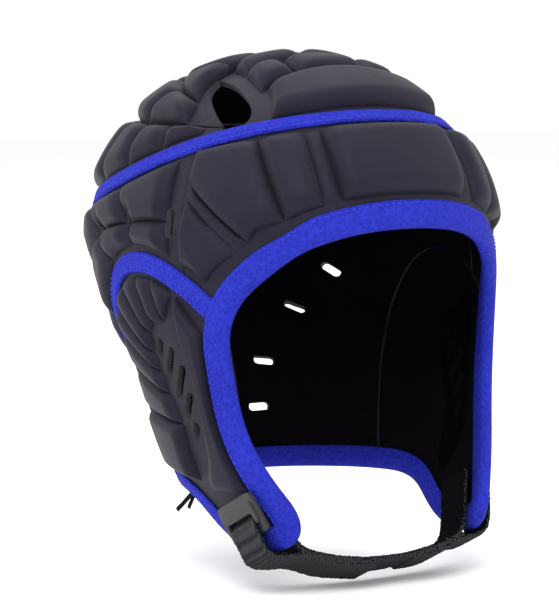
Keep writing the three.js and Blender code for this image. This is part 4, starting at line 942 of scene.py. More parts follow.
    def crown(
        self, name: str, turns: Sequence, rise: Callable, vent: Sequence, gap: float, rows: Sequence
    ) -> Panel:
        """A panel of the crown, from its seam to the line across the top.

        Formula: a patch in plan between the seam and the straight line across the top, with the
        vent's outline as its sides, whose bulge fades by the fourth power of the share across.

        Args:
            name: the panel's name.
            turns: where its seam starts and ends.
            rise: rise of its seam by turn.
            vent: outline of the vent, as shares of the half width and of the front.
            gap: how far the panel stands back from the line across the top.
            rows: rows of cells.

        Returns:
            The panel.
        """

        def seam(s: np.ndarray) -> np.ndarray:
            """The seam in plan."""
            turn = turns[0] + (turns[1] - turns[0]) * s
            return HEAD.lining(np.stack([turn, rise(turn)], -1))[..., :2]

        rest = np.array([[a * HEAD.half_width, -b * HEAD.front] for a, b in vent])
        start = np.vstack([seam(ONE), rest])
        shift = np.array([0.0, gap])
        end = smooth_curve(start, ONE)

        def far(s: np.ndarray) -> np.ndarray:
            """The line across the top, in plan."""
            return np.stack([-end[0] + 2 * end[0] * s, np.full_like(s, end[1] + gap, float)], -1)

        def side(t: np.ndarray, hand: int) -> np.ndarray:
            """The vent's outline on one hand, 1 or -1, in plan."""
            return smooth_curve(start, t) * [hand, 1] + shift * np.asarray(t)[..., None]

        def bulge(t: np.ndarray, hand: int) -> np.ndarray:
            """How far the outline lies from the straight between its ends."""
            return side(t, hand) - lerp(side(ZERO, hand), side(ONE, hand), t)

        def frame(s: np.ndarray, t: np.ndarray) -> tuple[np.ndarray, np.ndarray]:
            """Frame at shares across and away from the seam.

            Args:
                s: shares across.
                t: shares away from the seam.

            Returns:
                Points of the lining and normals.
            """
            straight = lerp(seam(s), far(s), t)
            left = ((1 - s) ** self.BULGE_POWER)[..., None] * bulge(t, -1)
            right = (s**self.BULGE_POWER)[..., None] * bulge(t, 1)
            return HEAD.cap(straight + left + right)

        cells = [
            cell(cuts[i], cuts[i + 1], [near, near], [away, away], lift)
            for near, away, cuts, lifts in rows
            for i, lift in enumerate(lifts)
        ]
        if gap < 0:
            net = cell(0, 1, [self.NET_START] * 2, [self.NET_END] * 2, 0)
            cells.append(Cell(net.corners, 0, net=True))
        hem = rows[0][2][1] / 2
        return Panel(name, frame, cells, seams=(hem, 1 - hem))

    def above_ring(self, turn: np.ndarray) -> np.ndarray:
        """Rise of the crown seam's upper side."""
        return LINES.ring_rise(turn) + self.SEAM_RISE

    def crown_front(self) -> Panel:
        """Top panel ahead of the line from vent to vent."""
        turns = (-self.FRONT_TURN, self.FRONT_TURN)
        rows = self.FRONT_ROWS
        return self.crown("crown_front_panel", turns, self.above_ring, self.VENT_FRONT, -self.HALF, rows)

    def crown_rear(self) -> Panel:
        """Top panel behind that line."""
        turns = (-self.REAR_TURN, self.REAR_TURN - 360)

        def rise(turn: np.ndarray) -> np.ndarray:
            """Rise of the rear seam's upper side."""
            return np.full_like(turn, self.REAR_RISE + self.SEAM_RISE, float)

        return self.crown("crown_rear_panel", turns, rise, self.VENT_REAR, SIZE.seam, self.REAR_ROWS)

    def band(self) -> Panel:
        """Row of pads round the back between the crown seam and the rear seam.

        Returns:
            The panel.
        """
        pads = np.linspace(self.BAND_TURN, 360 - self.BAND_TURN, self.BAND_PADS + 1)
        stops = [self.REAR_TURN, *pads, 360 - self.REAR_TURN]
        turn = knots(stops)

        def low(s: np.ndarray) -> np.ndarray:
            """Border along the crown seam."""
            return np.stack([turn(s), self.above_ring(turn(s))], -1)

        def high(s: np.ndarray) -> np.ndarray:
            """Border along the rear seam."""
            return np.stack([turn(s), np.full_like(turn(s), self.REAR_RISE - self.SEAM_RISE)], -1)

        count = len(stops) - 1
        rims = [rim_share(low, high, i, SIZE.crown_tape / 2 + SIZE.rim_room) for i in range(count + 1)]
        cells = []
        for k in range(count):
            rim = [rims[k], rims[k + 1]]
            lift = 0 if k in (0, count - 1) else self.BAND_LIFT
            cells.append(cell(k, k + 1, [0, 0], rim, 0))
            cells.append(cell(k, k + 1, rim, [1, 1], lift))
        return Panel("crown_rear_band", self.ruled(low, high), cells)

    def all(self) -> list[Panel]:
        """Every panel."""
        return [
            self.crown_front(), self.crown_rear(), self.band(), self.forehead(),
            self.back(False), self.back(True), self.ear(False), self.ear(True),
        ]


@dataclass
class Stitch:
    """A stitch: a bead of thread that lies on the cloth.

    length, width, pitch: millimetres. tip: radians from the bead's ends at which it is cut.
    """

    length: float = 2.3
    width: float = 0.55
    pitch: float = 3.1
    sides: int = 6
    rings: int = 4
    tip: float = 0.12

    def bead(self) -> tuple[np.ndarray, np.ndarray]:
        """A unit bead along x.

        Formula: its radius is the square root of one less the squared place along it.

        Returns:
            Vertices and quads.
        """
        x = np.cos(np.linspace(self.tip, np.pi - self.tip, self.rings))
        turn = np.arange(self.sides) * 2 * np.pi / self.sides
        radius = np.sqrt(1 - x**2)[:, None]
        ring = np.stack([x[:, None] + 0 * turn, radius * np.cos(turn), radius * np.sin(turn)], -1)
        return sweep(ring, False)

    def spaced(self, points: np.ndarray, normals: np.ndarray) -> tuple[np.ndarray, np.ndarray]:
        """Points and normals one pitch apart along a line.

        Args:
            points: the line.
            normals: its normals.

        Returns:
            The spaced points and normals.
        """
        walk = run_length(points)
        goal = np.arange(self.pitch / 2, walk[-1], self.pitch)
        return follow(goal, walk, points), unit(follow(goal, walk, normals))

    def lay(self, points: np.ndarray, normals: np.ndarray) -> tuple[np.ndarray, np.ndarray]:
        """Beads along a line, one pitch apart.

        Args:
            points: the line.
            normals: its normals.

        Returns:
            Vertices and quads of all the beads.
        """
        points, normals = self.spaced(points, normals)
        ahead = unit(np.gradient(points, axis=0))
        across = unit(np.cross(normals, ahead))
        bead, quads = self.bead()
        half = np.array([self.length, self.width, self.width]) / 2
        frame = np.stack([ahead, across, normals], 1)
        vertices = points[:, None] + np.einsum("bk,nkj->nbj", bead * half, frame)
        faces = quads[None] + (np.arange(len(points)) * len(bead))[:, None, None]
        vertices, faces = vertices.reshape(-1, 3), faces.reshape(-1, 4)
        return vertices, facing_out(vertices, faces)

    def sew(self, name: str, lines: list[tuple[np.ndarray, np.ndarray]]) -> bpy.types.Object:
        """One piece with the beads of several lines.

        Args:
            name: the piece's name.
            lines: points and normals of each line.

        Returns:
            The piece.
        """
        parts, total = [], 0
        for points, normals in lines:
            vertices, faces = self.lay(points, normals)
            parts.append((vertices, faces + total))
            total += len(vertices)
        return make_mesh(name, *(np.concatenate(p) for p in zip(*parts)))


def make_mesh(name: str, vertices: np.ndarray, quads: np.ndarray, smooth: float = 50.0) -> bpy.types.Object:
    """A mesh object from points in millimetres and faces.

    Args:
        name: the object's name.
        vertices: points, one a row.
        quads: faces with four corners each.
        smooth: angle in degrees up to which an edge is shaded smooth.

    Returns:
        The object, at the origin.
    """
    used, order = np.unique(quads, return_inverse=True)
    vertices, quads = to_metres(vertices[used]), order.reshape(quads.shape)
    mesh = bpy.data.meshes.new(name)
    mesh.vertices.add(len(vertices))
    mesh.vertices.foreach_set("co", vertices.astype(np.float32).ravel())
    mesh.loops.add(quads.size)
    mesh.loops.foreach_set("vertex_index", quads.astype(np.int32).ravel())
    mesh.polygons.add(len(quads))
    mesh.polygons.foreach_set("loop_start", np.arange(0, quads.size, quads.shape[1], dtype=np.int32))
    mesh.update(calc_edges=True)
    mesh.shade_smooth()
    mesh.set_sharp_from_angle(angle=np.radians(smooth))
    made = bpy.data.objects.new(name, mesh)
    bpy.context.scene.collection.objects.link(made)
    return made


class Sock:
    """A shader socket with arithmetic."""

    def __init__(self, tree: "Shader", link: object) -> None:
        """Wraps a link of a tree."""
        self.tree, self.link = tree, link

    def _math(self, operation: str, *values: object) -> "Sock":
        """A Math node's result."""
        return self.tree.node("ShaderNodeMath", {"operation": operation}, dict(enumerate(values)))

    def __add__(self, other: object) -> "Sock":
        """Sum."""
        return self._math("ADD", self, other)

    def __mul__(self, other: object) -> "Sock":
        """Product."""
        return self._math("MULTIPLY", self, other)

    __radd__ = __add__
    __rmul__ = __mul__


class Shader:
    """A material's node tree."""

    def __init__(self, name: str) -> None:
        """Starts a material with one Principled shader."""
        self.material = bpy.data.materials.new(name)
        self.material.use_nodes = True
        self.nodes = self.material.node_tree.nodes
        self.links = self.material.node_tree.links
        self.principled = self.nodes["Principled BSDF"]

    def feed(self, socket: object, value: object) -> None:
        """Sets a socket to a value or links it.

        Args:
            socket: the node's input.
            value: a value, or a Sock to link.
        """
        if isinstance(value, Sock):
            self.links.new(value.link, socket)
        else:
            socket.default_value = value

    def give(self, name: str, value: object) -> None:
        """Feeds an input of the Principled shader."""
        self.feed(self.principled.inputs[name], value)

    def node(self, kind: str, settings: dict, inputs: dict, output: object = 0) -> Sock:
        """Any node.

        Args:
            kind: its type.
            settings: its settings, set first.
            inputs: values or links by socket.
            output: which output to return.

        Returns:
            The output.
        """
        made = self.nodes.new(kind)
        for key, value in settings.items():
            setattr(made, key, value)
        for key, value in inputs.items():
            self.feed(made.inputs[key], value)
        return Sock(self, made.outputs[output])

    def place(self) -> Sock:
        """Object coordinates."""
        return self.node("ShaderNodeTexCoord", {}, {}, "Object")

    def noise(self, scale: float, detail: float) -> Sock:
        """Noise value at a scale, in ripples a metre."""
        inputs = {"Vector": self.place(), "Scale": scale, "Detail": detail}
        return self.node("ShaderNodeTexNoise", {}, inputs)

    def cells(self, scale: float) -> Sock:
        """Distance to the nearest of scattered points."""
        inputs = {"Vector": self.place(), "Scale": scale}
        return self.node("ShaderNodeTexVoronoi", {}, inputs, "Distance")

    def blend(self, share: Sock, first: tuple, second: tuple) -> Sock:
        """Colour between two colours, which the Mix node takes at sockets 6 and 7."""
        inputs = {0: share, 6: (*first, 1), 7: (*second, 1)}
        return self.node("ShaderNodeMix", {"data_type": "RGBA"}, inputs, 2)

    def bump(self, height: Sock, depth: float, strength: float, under: Sock | None = None) -> Sock:
        """Normal from a height.

        Args:
            height: the relief.
            depth: its depth in metres.
            strength: its strength.
            under: a normal that it adds to.

        Returns:
            The normal.
        """
        inputs = {"Height": height, "Distance": depth, "Strength": strength}
        if under is not None:
            inputs["Normal"] = under
        return self.node("ShaderNodeBump", {}, inputs)


@dataclass(frozen=True)
class Cloth:
    """A woven or knitted finish.

    dark, light: its colours. grain: threads a metre. depth: relief of a thread in metres. weave:
    how far the threads colour it. ribs: scale of its ribs, or nought for none.
    """

    name: str
    dark: tuple[float, float, float]
    light: tuple[float, float, float]
    roughness: float
    grain: float
    depth: float
    sheen: float = 0.0
    strength: float = 0.8
    specular: float = 0.1
    weave: float = 0.2
    ribs: float = 0.0

    SHINE = (0.8, 0.76, 1.0, 1.0)
    MOTTLE, MOTTLE_SHARE, FINE_SHARE, RIB_SHARE = 38.0, 0.55, 0.35, 0.8
    SPREAD = 0.16
    COARSE, COARSE_DEPTH, COARSE_STRENGTH = 120.0, 0.0003, 0.5
    RIB_WAVER = 0.6

    def material(self) -> bpy.types.Material:
        """The finish as a material.

        Formula: the colour goes from dark to light by mottling, fine noise and threads, or by
        the ribs; a relief of threads or ribs lies over a coarse one.

        Returns:
            The material.
        """
        tree = Shader(self.name)
        relief = tree.cells(self.grain)
        mottle = tree.noise(self.MOTTLE, 4.0)
        fine = tree.noise(self.grain * 0.6, 3.0)
        share = mottle * self.MOTTLE_SHARE + fine * self.FINE_SHARE + relief * self.weave
        if self.ribs:
            inputs = {"Vector": tree.place(), "Scale": self.ribs, "Distortion": self.RIB_WAVER}
            relief = tree.node("ShaderNodeTexWave", {"bands_direction": "X"}, inputs, 1)
            share = relief * self.RIB_SHARE + fine * (1 - self.RIB_SHARE)
        tree.give("Base Color", tree.blend(share, self.dark, self.light))
        tree.give("Roughness", mottle * self.SPREAD + (self.roughness - self.SPREAD / 2))
        tree.give("Sheen Weight", self.sheen)
        tree.give("Sheen Roughness", 0.5)
        tree.give("Specular Tint", self.SHINE)
        tree.give("Specular IOR Level", self.specular)
        coarse = tree.bump(tree.noise(self.COARSE, 3.0), self.COARSE_DEPTH, self.COARSE_STRENGTH)
        tree.give("Normal", tree.bump(relief, self.depth, self.strength, coarse))
        return tree.material


class Finish(Enum):
    """The cap's cloth finishes."""

    PANEL = Cloth(
        "panel_knit", (0.0044, 0.0040, 0.0085), (0.0140, 0.0130, 0.0225), 0.56, 1300.0, 0.00012,
        sheen=0.03, strength=0.5, specular=0.15,
    )
    SEAM = Cloth("seam_thread", (0.020, 0.020, 0.026), (0.055, 0.055, 0.066), 0.6, 2600.0, 0.0001)
    FOAM = Cloth("foam_edge", (0.02, 0.02, 0.022), (0.07, 0.07, 0.075), 0.9, 900.0, 0.0003)
    LINING = Cloth(
        "lining_net", (0.0015, 0.0015, 0.002), (0.005, 0.005, 0.006), 0.95, 700.0, 0.0003,
        specular=0.02,
    )
    TRIM = Cloth(
        "trim_knit", (0.004, 0.005, 0.15), (0.018, 0.026, 0.36), 0.75, 560.0, 0.0006,
        strength=1.0, weave=0.7,
    )
    THREAD = Cloth("trim_thread", (0.02, 0.025, 0.40), (0.05, 0.06, 0.62), 0.55, 2600.0, 0.0001)
    PILE = Cloth(
        "strap_pile", (0.0012, 0.0012, 0.0015), (0.006, 0.006, 0.007), 0.97, 900.0, 0.0006,
        strength=1.0, specular=0.04,
    )
    RIBS = Cloth(
        "strap_ribs", (0.010, 0.011, 0.012), (0.040, 0.042, 0.044), 0.8, 900.0, 0.0004,
        strength=1.0, ribs=200.0,
    )
    LACE = Cloth("lace_braid", (0.003, 0.003, 0.0035), (0.012, 0.012, 0.014), 0.8, 1500.0, 0.0002)


@dataclass(frozen=True)
class Plastic:
    """Moulded plastic: satin, with a fine grain and faint scuffs."""

    name: str = "ring_plastic"
    dark: tuple[float, float, float] = (0.008, 0.0085, 0.009)
    light: tuple[float, float, float] = (0.02, 0.021, 0.023)
    roughness: float = 0.42
    spread: float = 0.2
    grain: float = 1800.0
    scuffs: float = 90.0
    depth: float = 0.00008

    def material(self) -> bpy.types.Material:
        """The finish as a material.

        Returns:
            The material.
        """
        tree = Shader(self.name)
        grain = tree.noise(self.grain, 2.0)
        scuffs = tree.noise(self.scuffs, 5.0)
        tree.give("Base Color", tree.blend(scuffs, self.dark, self.light))
        tree.give("Roughness", scuffs * self.spread + self.roughness)
        tree.give("Normal", tree.bump(grain, self.depth, 0.5))
        return tree.material


@dataclass
class Wardrobe:
    """Makes each finish once."""

    made: dict = field(default_factory=dict)

    def get(self, finish: Finish) -> bpy.types.Material:
        """The material of a finish."""
        if finish not in self.made:
            self.made[finish] = finish.value.material()
        return self.made[finish]


def sweep(rings: np.ndarray, closed: bool) -> tuple[np.ndarray, np.ndarray]:
    """Surface of outlines carried along a path.

    Formula: each outline's neighbours joined by quads to the next outline's; open ends get quads
    from one half of the outline to the other.

    Args:
        rings: outlines, one for each station, all with an even count of points.
        closed: whether the last outline joins the first.

    Returns:
        Vertices and quads.
    """
    n, k = rings.shape[:2]
    index = np.arange(n * k).reshape(n, k)
    following = np.roll(index, -1, axis=0) if closed else index[1:]
    here = index if closed else index[:-1]
    sides = [here, following, np.roll(following, -1, 1), np.roll(here, -1, 1)]
    quads = [np.stack(sides, -1).reshape(-1, 4)]
    if not closed:
        j = np.arange(k // 2 - 1)
        strip = np.stack([j, j + 1, k - 2 - j, k - 1 - j], -1)
        quads += [index[0][strip], index[-1][strip][:, ::-1]]
    return rings.reshape(-1, 3), np.concatenate(quads)


def facing_out(vertices: np.ndarray, quads: np.ndarray) -> np.ndarray:
    """Quads wound so that the closed mesh's volume is positive.

    Formula: the volume is the sum of each face's corner times its area vector, over six.

    Args:
        vertices: the mesh's points.
        quads: its faces.

    Returns:
        The quads, turned round where the volume was negative.
    """
    a, b, c, d = (vertices[quads[:, i]] for i in range(4))
    volume = (a * np.cross(b, c)).sum() + (a * np.cross(c, d)).sum()
    return quads if volume > 0 else quads[:, ::-1]


def rounded(section: Sequence[tuple[float, float]], rounds: int = 2) -> np.ndarray:
    """An outline with its corners cut.

    Formula: each side keeps its middle half, time after time.

    Args:
        section: the outline's corners.
        rounds: how many times they are cut.

    Returns:
        The rounder outline.
    """
    outline = np.array(section, float)
    for _ in range(rounds):
        following = np.roll(outline, -1, axis=0)
        cuts = [0.75 * outline + 0.25 * following, 0.25 * outline + 0.75 * following]
        outline = np.stack(cuts, 1).reshape(-1, 2)
    return outline


@dataclass
class Tape:
    """A tape along a line of the shell.

    shares, sides: place and hand of each station. section: outline, as distance beside the line
    and height. dive: millimetres by which its ends sink under the tape that they meet.
    """

    name: str
    trail: Trail
    shares: np.ndarray
    sides: np.ndarray
    section: np.ndarray
    closed: bool = False
    dive: float = 0.0

    DIVE_REACH = 2.5
    STEADY = 4

    def points(self, distance: np.ndarray, height: np.ndarray) -> np.ndarray:
        """Points beside the line, for every station and outline place.

        Formula: the lining's point at that distance, plus its normal by the height, less the
        dive, which fades by the exponential of the length from an end.

        Args:
            distance: millimetres beside the line.
            height: millimetres over the lining.

        Returns:
            A row of points for each station.
        """
        share = self.shares[:, None] + 0 * distance
        place = self.trail.beside(share, np.broadcast_to(distance, share.shape))
        place = place * np.stack([self.sides[:, None] + 0 * share, np.ones_like(share)], -1)
        at, normal = (self.steadied(values) for values in HEAD.shell(place))
        sink = 0.0
        if self.dive:
            walk = (self.shares - self.shares[0]) * self.trail.length
            rest = (self.shares[-1] - self.shares) * self.trail.length
            ends = np.exp(-walk / self.DIVE_REACH) + np.exp(-rest / self.DIVE_REACH)
            sink = self.dive * ends[:, None]
        return at + normal * (height - sink)[..., None]

    def steadied(self, values: np.ndarray) -> np.ndarray:
        """Values averaged over the stations beside each, so that the tape has no kinks.

        Args:
            values: points or normals by station.

        Returns:
            The averages.
        """
        ends = {"mode": "wrap"} if self.closed else {"mode": "reflect", "reflect_type": "odd"}
        padded = np.pad(values, ((self.STEADY, self.STEADY), (0, 0), (0, 0)), **ends)
        count = 2 * self.STEADY + 1
        return sum(padded[k:k + len(values)] for k in range(count)) / count

    def build(self) -> tuple[np.ndarray, np.ndarray]:
        """The tape's surface: its outline at every station.

        Returns:
            Vertices and quads.
        """
        rings = self.points(self.section[None, :, 0], self.section[None, :, 1])
        vertices, quads = sweep(rings, self.closed)
        return vertices, facing_out(vertices, quads)


def through_middle(start: float, end: float, length: float, step: float) -> tuple[np.ndarray, np.ndarray]:
    """Stations from one side of the cap to the other through its middle.

    Args:
        start: share at the middle, 0 for the brow and 1 for the back.
        end: share at the outer ends.
        length: the line's length in millimetres.
        step: millimetres between stations.

    Returns:
        Shares, and the side of each, 1 or -1.
    """
    count = int(abs(end - start) * length / step)
    half = np.linspace(start, end, count + 1)
    shares = np.concatenate([half[::-1], half[1:]])
    return shares, np.concatenate([-np.ones(count + 1), np.ones(count)])


class TapeMaker:
    """Lays out the tapes and their stitches.

    All in millimetres. STEP: from station to station. SINK, INNER_SINK: how far a tape sinks into
    the foam outside and inside. SWELL, FOLD_SWELL: added to its thickness. ARCH_OVERLAP,
    ARCH_DIVE: how far the arch tape reaches under the face tape, and how deep. CROWN_EDGE to
    NECK_EDGE: from a row of stitches to the tape's edge.
    """

    STEP = 1.3
    SINK, SWELL = 0.5, 0.25
    INNER_SINK, FOLD_SWELL = 0.2, 0.3
    ARCH_OVERLAP, ARCH_DIVE = 4.5, 2.2
    CROWN_EDGE, ARCH_EDGE, FACE_EDGE, NECK_EDGE = 1.2, 1.3, 1.6, 1.5

    def flat(self, width: float) -> np.ndarray:
        """Outline of a flat tape, slightly domed, that sinks a little into the foam.

        Args:
            width: the tape's width.

        Returns:
            The outline.
        """
        half, seat, tape = width / 2, SIZE.seat - self.SINK, SIZE.tape + self.SWELL
        shoulder, edge, middle = seat + tape, seat + 0.5 * tape, seat + tape * 1.1
        base = [(-half, seat), (half, seat), (half, edge), (half * 0.8, shoulder)]
        return rounded([*base, (0, middle), (-half * 0.8, shoulder), (-half, edge)])

    def folded(self, width: float) -> np.ndarray:
        """Outline of a tape folded round the edge.

        Args:
            width: the width of each leg.

        Returns:
            The outline.
        """
        seat, inner = SIZE.seat - self.SINK, SIZE.inner_seat + self.INNER_SINK
        tape, middle = SIZE.tape + self.FOLD_SWELL, (seat + inner) / 2
        return rounded([
            (width, seat), (width, seat + 0.7 * tape), (width * 0.85, seat + tape),
            (width / 2, seat + tape * 1.15), (1.2, seat + 0.9 * tape), (-1.0, middle + 1.4),
            (-1.0, middle - 1.4), (0.6, inner - 0.8 * tape), (width / 2, inner - tape),
            (width, inner - 0.6 * tape), (width, inner), (SIZE.tape, inner), (SIZE.tape, seat),
        ])

    def all(self) -> list[Tape]:
        """Every tape.

        Returns:
            The tapes.
        """
        edge, arch, ring = LINES.edge, LINES.arch, LINES.ring
        half = np.linspace(0, 1, int(ring.length / self.STEP))
        ring_shares = np.concatenate([half, half[-2:0:-1]])
        ring_sides = np.concatenate([np.ones(len(half)), -np.ones(len(half) - 2)])
        flat, folded = self.flat(SIZE.crown_tape), self.folded(SIZE.face_tape)
        tapes = [Tape("crown_tape", ring, ring_shares, ring_sides, flat, closed=True)]
        clear = np.flatnonzero(LINES.arch_gap > SIZE.face_tape - self.ARCH_OVERLAP)
        ends = arch.reach[[clear[0], clear[-1]]] / arch.length
        for name, side in (("arch_tape_left", 1.0), ("arch_tape_right", -1.0)):
            shares = np.linspace(*ends, int(arch.length / self.STEP))
            sides, section = np.full(len(shares), side), self.flat(SIZE.arch_tape)
            tapes.append(Tape(name, arch, shares, sides, section, dive=self.ARCH_DIVE))
        face = through_middle(0, LINES.tip, edge.length, self.STEP)
        neck = through_middle(1, LINES.tip + SIZE.clearance / edge.length, edge.length, self.STEP)
        tapes.append(Tape("face_tape", edge, *face, folded))
        tapes.append(Tape("neck_tape", edge, *neck, self.folded(SIZE.neck_tape)))
        return tapes

    def rows(self, tape: Tape) -> list[float]:
        """Distances beside the line at which a tape is stitched.

        Args:
            tape: the tape.

        Returns:
            One distance for each row of stitches.
        """
        arch = SIZE.arch_tape / 2 - self.ARCH_EDGE
        places = {
            "crown_tape": [-SIZE.crown_tape / 2 + self.CROWN_EDGE],
            "face_tape": [SIZE.face_tape - self.FACE_EDGE],
            "neck_tape": [SIZE.neck_tape - self.NECK_EDGE],
        }
        return places.get(tape.name, [-arch, arch])


@dataclass
class Cap:
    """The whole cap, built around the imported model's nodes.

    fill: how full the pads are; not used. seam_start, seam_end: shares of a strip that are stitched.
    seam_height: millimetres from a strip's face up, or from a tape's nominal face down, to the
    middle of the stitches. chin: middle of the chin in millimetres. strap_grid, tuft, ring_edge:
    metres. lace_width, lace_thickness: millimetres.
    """

    nodes: dict[str, bpy.types.Object]
    wardrobe: Wardrobe = field(default_factory=Wardrobe)
    fill: float = 0.9
    seam_start: float = 0.14
    seam_end: float = 0.9
    seam_height: float = 0.1
    chin: tuple[float, float, float] = (0.0, -55.0, -175.0)
    strap_grid: float = 0.0007
    tuft: float = 0.00011
    ring_edge: float = 0.0004
    lace_width: float = 3.6
    lace_thickness: float = 1.6
    lace_facing: tuple[float, float, float] = (-0.8, 0.6, 0.0)

    LACES = {
        "lace_end_outer": (
            (-52.2, 18.9, -89), (-48.4, 12.8, -98), (-45.3, 9.2, -107), (-47.2, 7.2, -116.5),
            (-52.5, 6.4, -121.5), (-58.5, 6, -126.5),
        ),
        "lace_end_inner": (
            (-48.1, 24.3, -89), (-45.1, 18.6, -98), (-42.4, 14.2, -107), (-44, 11.4, -116.5),
            (-47.5, 9.9, -121.5), (-50.8, 8.6, -126.5),
        ),
    }
    LACE_STEPS, LACE_SIDES = 40, 16
    SEAM_STEPS = 120

    def dress(self, piece: bpy.types.Object, slot: str, *materials: bpy.types.Material) -> None:
        """Gives a piece its materials and attaches it to the root body.

        Args:
            piece: the piece.
            slot: not used.
            materials: in the order of its faces' kinds.
        """
        for material in materials:
            piece.data.materials.append(material)
        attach(piece, "root")
        LOG.info("%s: %d faces", piece.name, len(piece.data.polygons))

    def panels(self) -> None:
        """Every padded panel, with the stitches of its strips."""
        cloth = [self.wardrobe.get(f) for f in (Finish.PANEL, Finish.FOAM, Finish.LINING)]
        thread, stitch = self.wardrobe.get(Finish.SEAM), Stitch()
        share = np.linspace(self.seam_start, self.seam_end, self.SEAM_STEPS)
        for panel in PanelMaker().all():
            slab = panel.build()
            vertices, quads = np.concatenate(slab.vertices), np.concatenate(slab.quads)
            kinds = np.concatenate(slab.kinds).astype(np.int32)
            piece = make_mesh(panel.name + "_quilted", vertices, quads)
            piece.data.polygons.foreach_set("material_index", kinds)
            self.dress(piece, "panel_fabric", *cloth)
            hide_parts(panel.name)
            lines = []
            for across in panel.seams:
                points, normals = panel.frame(np.full_like(share, across), share)
                lines.append((points + normals * (SIZE.sheet + self.seam_height), normals))
            if lines:
                self.dress(stitch.sew(panel.name + "_seams", lines), "panel_fabric", thread)

    def tapes(self) -> None:
        """Every tape, with its stitches."""
        maker, stitch = TapeMaker(), Stitch()
        trim, thread = self.wardrobe.get(Finish.TRIM), self.wardrobe.get(Finish.THREAD)
        top = np.full((1, 1), SIZE.seat + SIZE.tape - self.seam_height)
        for tape in maker.all():
            piece = make_mesh(tape.name + "_knit", *tape.build(), smooth=70)
            self.dress(piece, "tape", trim)
            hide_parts(tape.name)
            lines = []
            for distance in maker.rows(tape):
                row = np.full((1, 1), distance)
                points, lower = (tape.points(row, top - depth)[:, 0] for depth in (0, 1))
                lines.append((points, unit(points - lower)))
            self.dress(stitch.sew(tape.name + "_stitches", lines), "tape", thread)

    def copied(self, node: str, name: str) -> bpy.types.Object:
        """A merged copy of a node's mesh as a new piece.

        Args:
            node: the node's name.
            name: the new piece's name.

        Returns:
            The piece.
        """
        source = self.nodes[node]
        mesh = source.data.copy()
        mesh.transform(source.matrix_world)
        work = bmesh.new()
        work.from_mesh(mesh)
        bmesh.ops.remove_doubles(work, verts=work.verts, dist=1e-5)
        bmesh.ops.recalc_face_normals(work, faces=work.faces)
        work.to_mesh(mesh)
        work.free()
        mesh.materials.clear()
        piece = bpy.data.objects.new(name, mesh)
        bpy.context.scene.collection.objects.link(piece)
        return piece

    def apply(self, piece: bpy.types.Object) -> None:
        """Applies a piece's modifiers.

        Args:
            piece: the piece.
        """
        graph = bpy.context.evaluated_depsgraph_get()
        mesh = bpy.data.meshes.new_from_object(piece.evaluated_get(graph))
        piece.modifiers.clear()
        piece.data = mesh

    def read(self, items: object, key: str) -> np.ndarray:
        """Vectors of a mesh's vertices or faces, one a row."""
        values = np.empty(len(items) * 3, np.float32)
        items.foreach_get(key, values)
        return values.reshape(-1, 3)

    def strap(self) -> None:
        """The chin strap: a close grid over its band, roughened into pile, with ribs outside.

        Formula: each point moves along its normal by a random height; a face is an outer one
        where it looks away from the middle of the chin.
        """
        piece = self.copied("chin_strap", "chin_strap_pile")
        remesh = piece.modifiers.new("grid", "REMESH")
        remesh.mode = "VOXEL"
        remesh.voxel_size = self.strap_grid
        soften = piece.modifiers.new("soften", "SMOOTH")
        soften.iterations = 4
        self.apply(piece)
        mesh = piece.data
        points, normals = (self.read(mesh.vertices, key) for key in ("co", "normal"))
        heights = np.random.default_rng(7).normal(0, 1, len(points)) * self.tuft
        moved = points + normals * heights[:, None]
        mesh.vertices.foreach_set("co", moved.astype(np.float32).ravel())
        mesh.update()
        mesh.shade_smooth()
        centres, facing = (self.read(mesh.polygons, key) for key in ("center", "normal"))
        outer = ((centres - np.array(self.chin) * MM) * facing).sum(1) > 0
        mesh.polygons.foreach_set("material_index", outer.astype(np.int32))
        self.dress(piece, "strap", *(self.wardrobe.get(f) for f in (Finish.PILE, Finish.RIBS)))
        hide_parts("chin_strap")

    def ring(self) -> None:
        """The moulded ring, with its edges rounded."""
        piece = self.copied("strap_ring", "strap_ring_moulded")
        bevel = piece.modifiers.new("edges", "BEVEL")
        bevel.width = self.ring_edge
        bevel.segments = 2
        bevel.limit_method = "ANGLE"
        self.apply(piece)
        piece.data.shade_smooth()
        piece.data.set_sharp_from_angle(angle=np.radians(40))
        self.dress(piece, "ring", Plastic().material())
        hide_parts("strap_ring")

    def laces(self) -> None:
        """The two flat ends of the rear lace, as cords: a flat oval carried along each path."""
        turn = np.linspace(0, 2 * np.pi, self.LACE_SIDES, endpoint=False)
        wide, high = self.lace_width / 2 * np.cos(turn), self.lace_thickness / 2 * np.sin(turn)
        for name, points in self.LACES.items():
            path = smooth_curve(np.array(points, float), np.linspace(0, 1, self.LACE_STEPS + 1))
            ahead = unit(np.gradient(path, axis=0))
            side = unit(np.cross(ahead, np.array(self.lace_facing)))
            thin = unit(np.cross(side, ahead))
            outline = path[:, None] + side[:, None] * wide[:, None] + thin[:, None] * high[:, None]
            vertices, quads = sweep(outline, False)
            piece = make_mesh(name + "_braid", vertices, facing_out(vertices, quads), smooth=80)
            self.dress(piece, "lace", self.wardrobe.get(Finish.LACE))
            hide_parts(name)
            metres = to_metres(path)
            tuple(metres[0])
            float(run_length(metres)[-1])
            [tuple(p) for p in metres]

    def build(self) -> None:
        """All the pieces."""
        self.laces()
        self.panels()
        self.tapes()
        self.strap()
        self.ring()


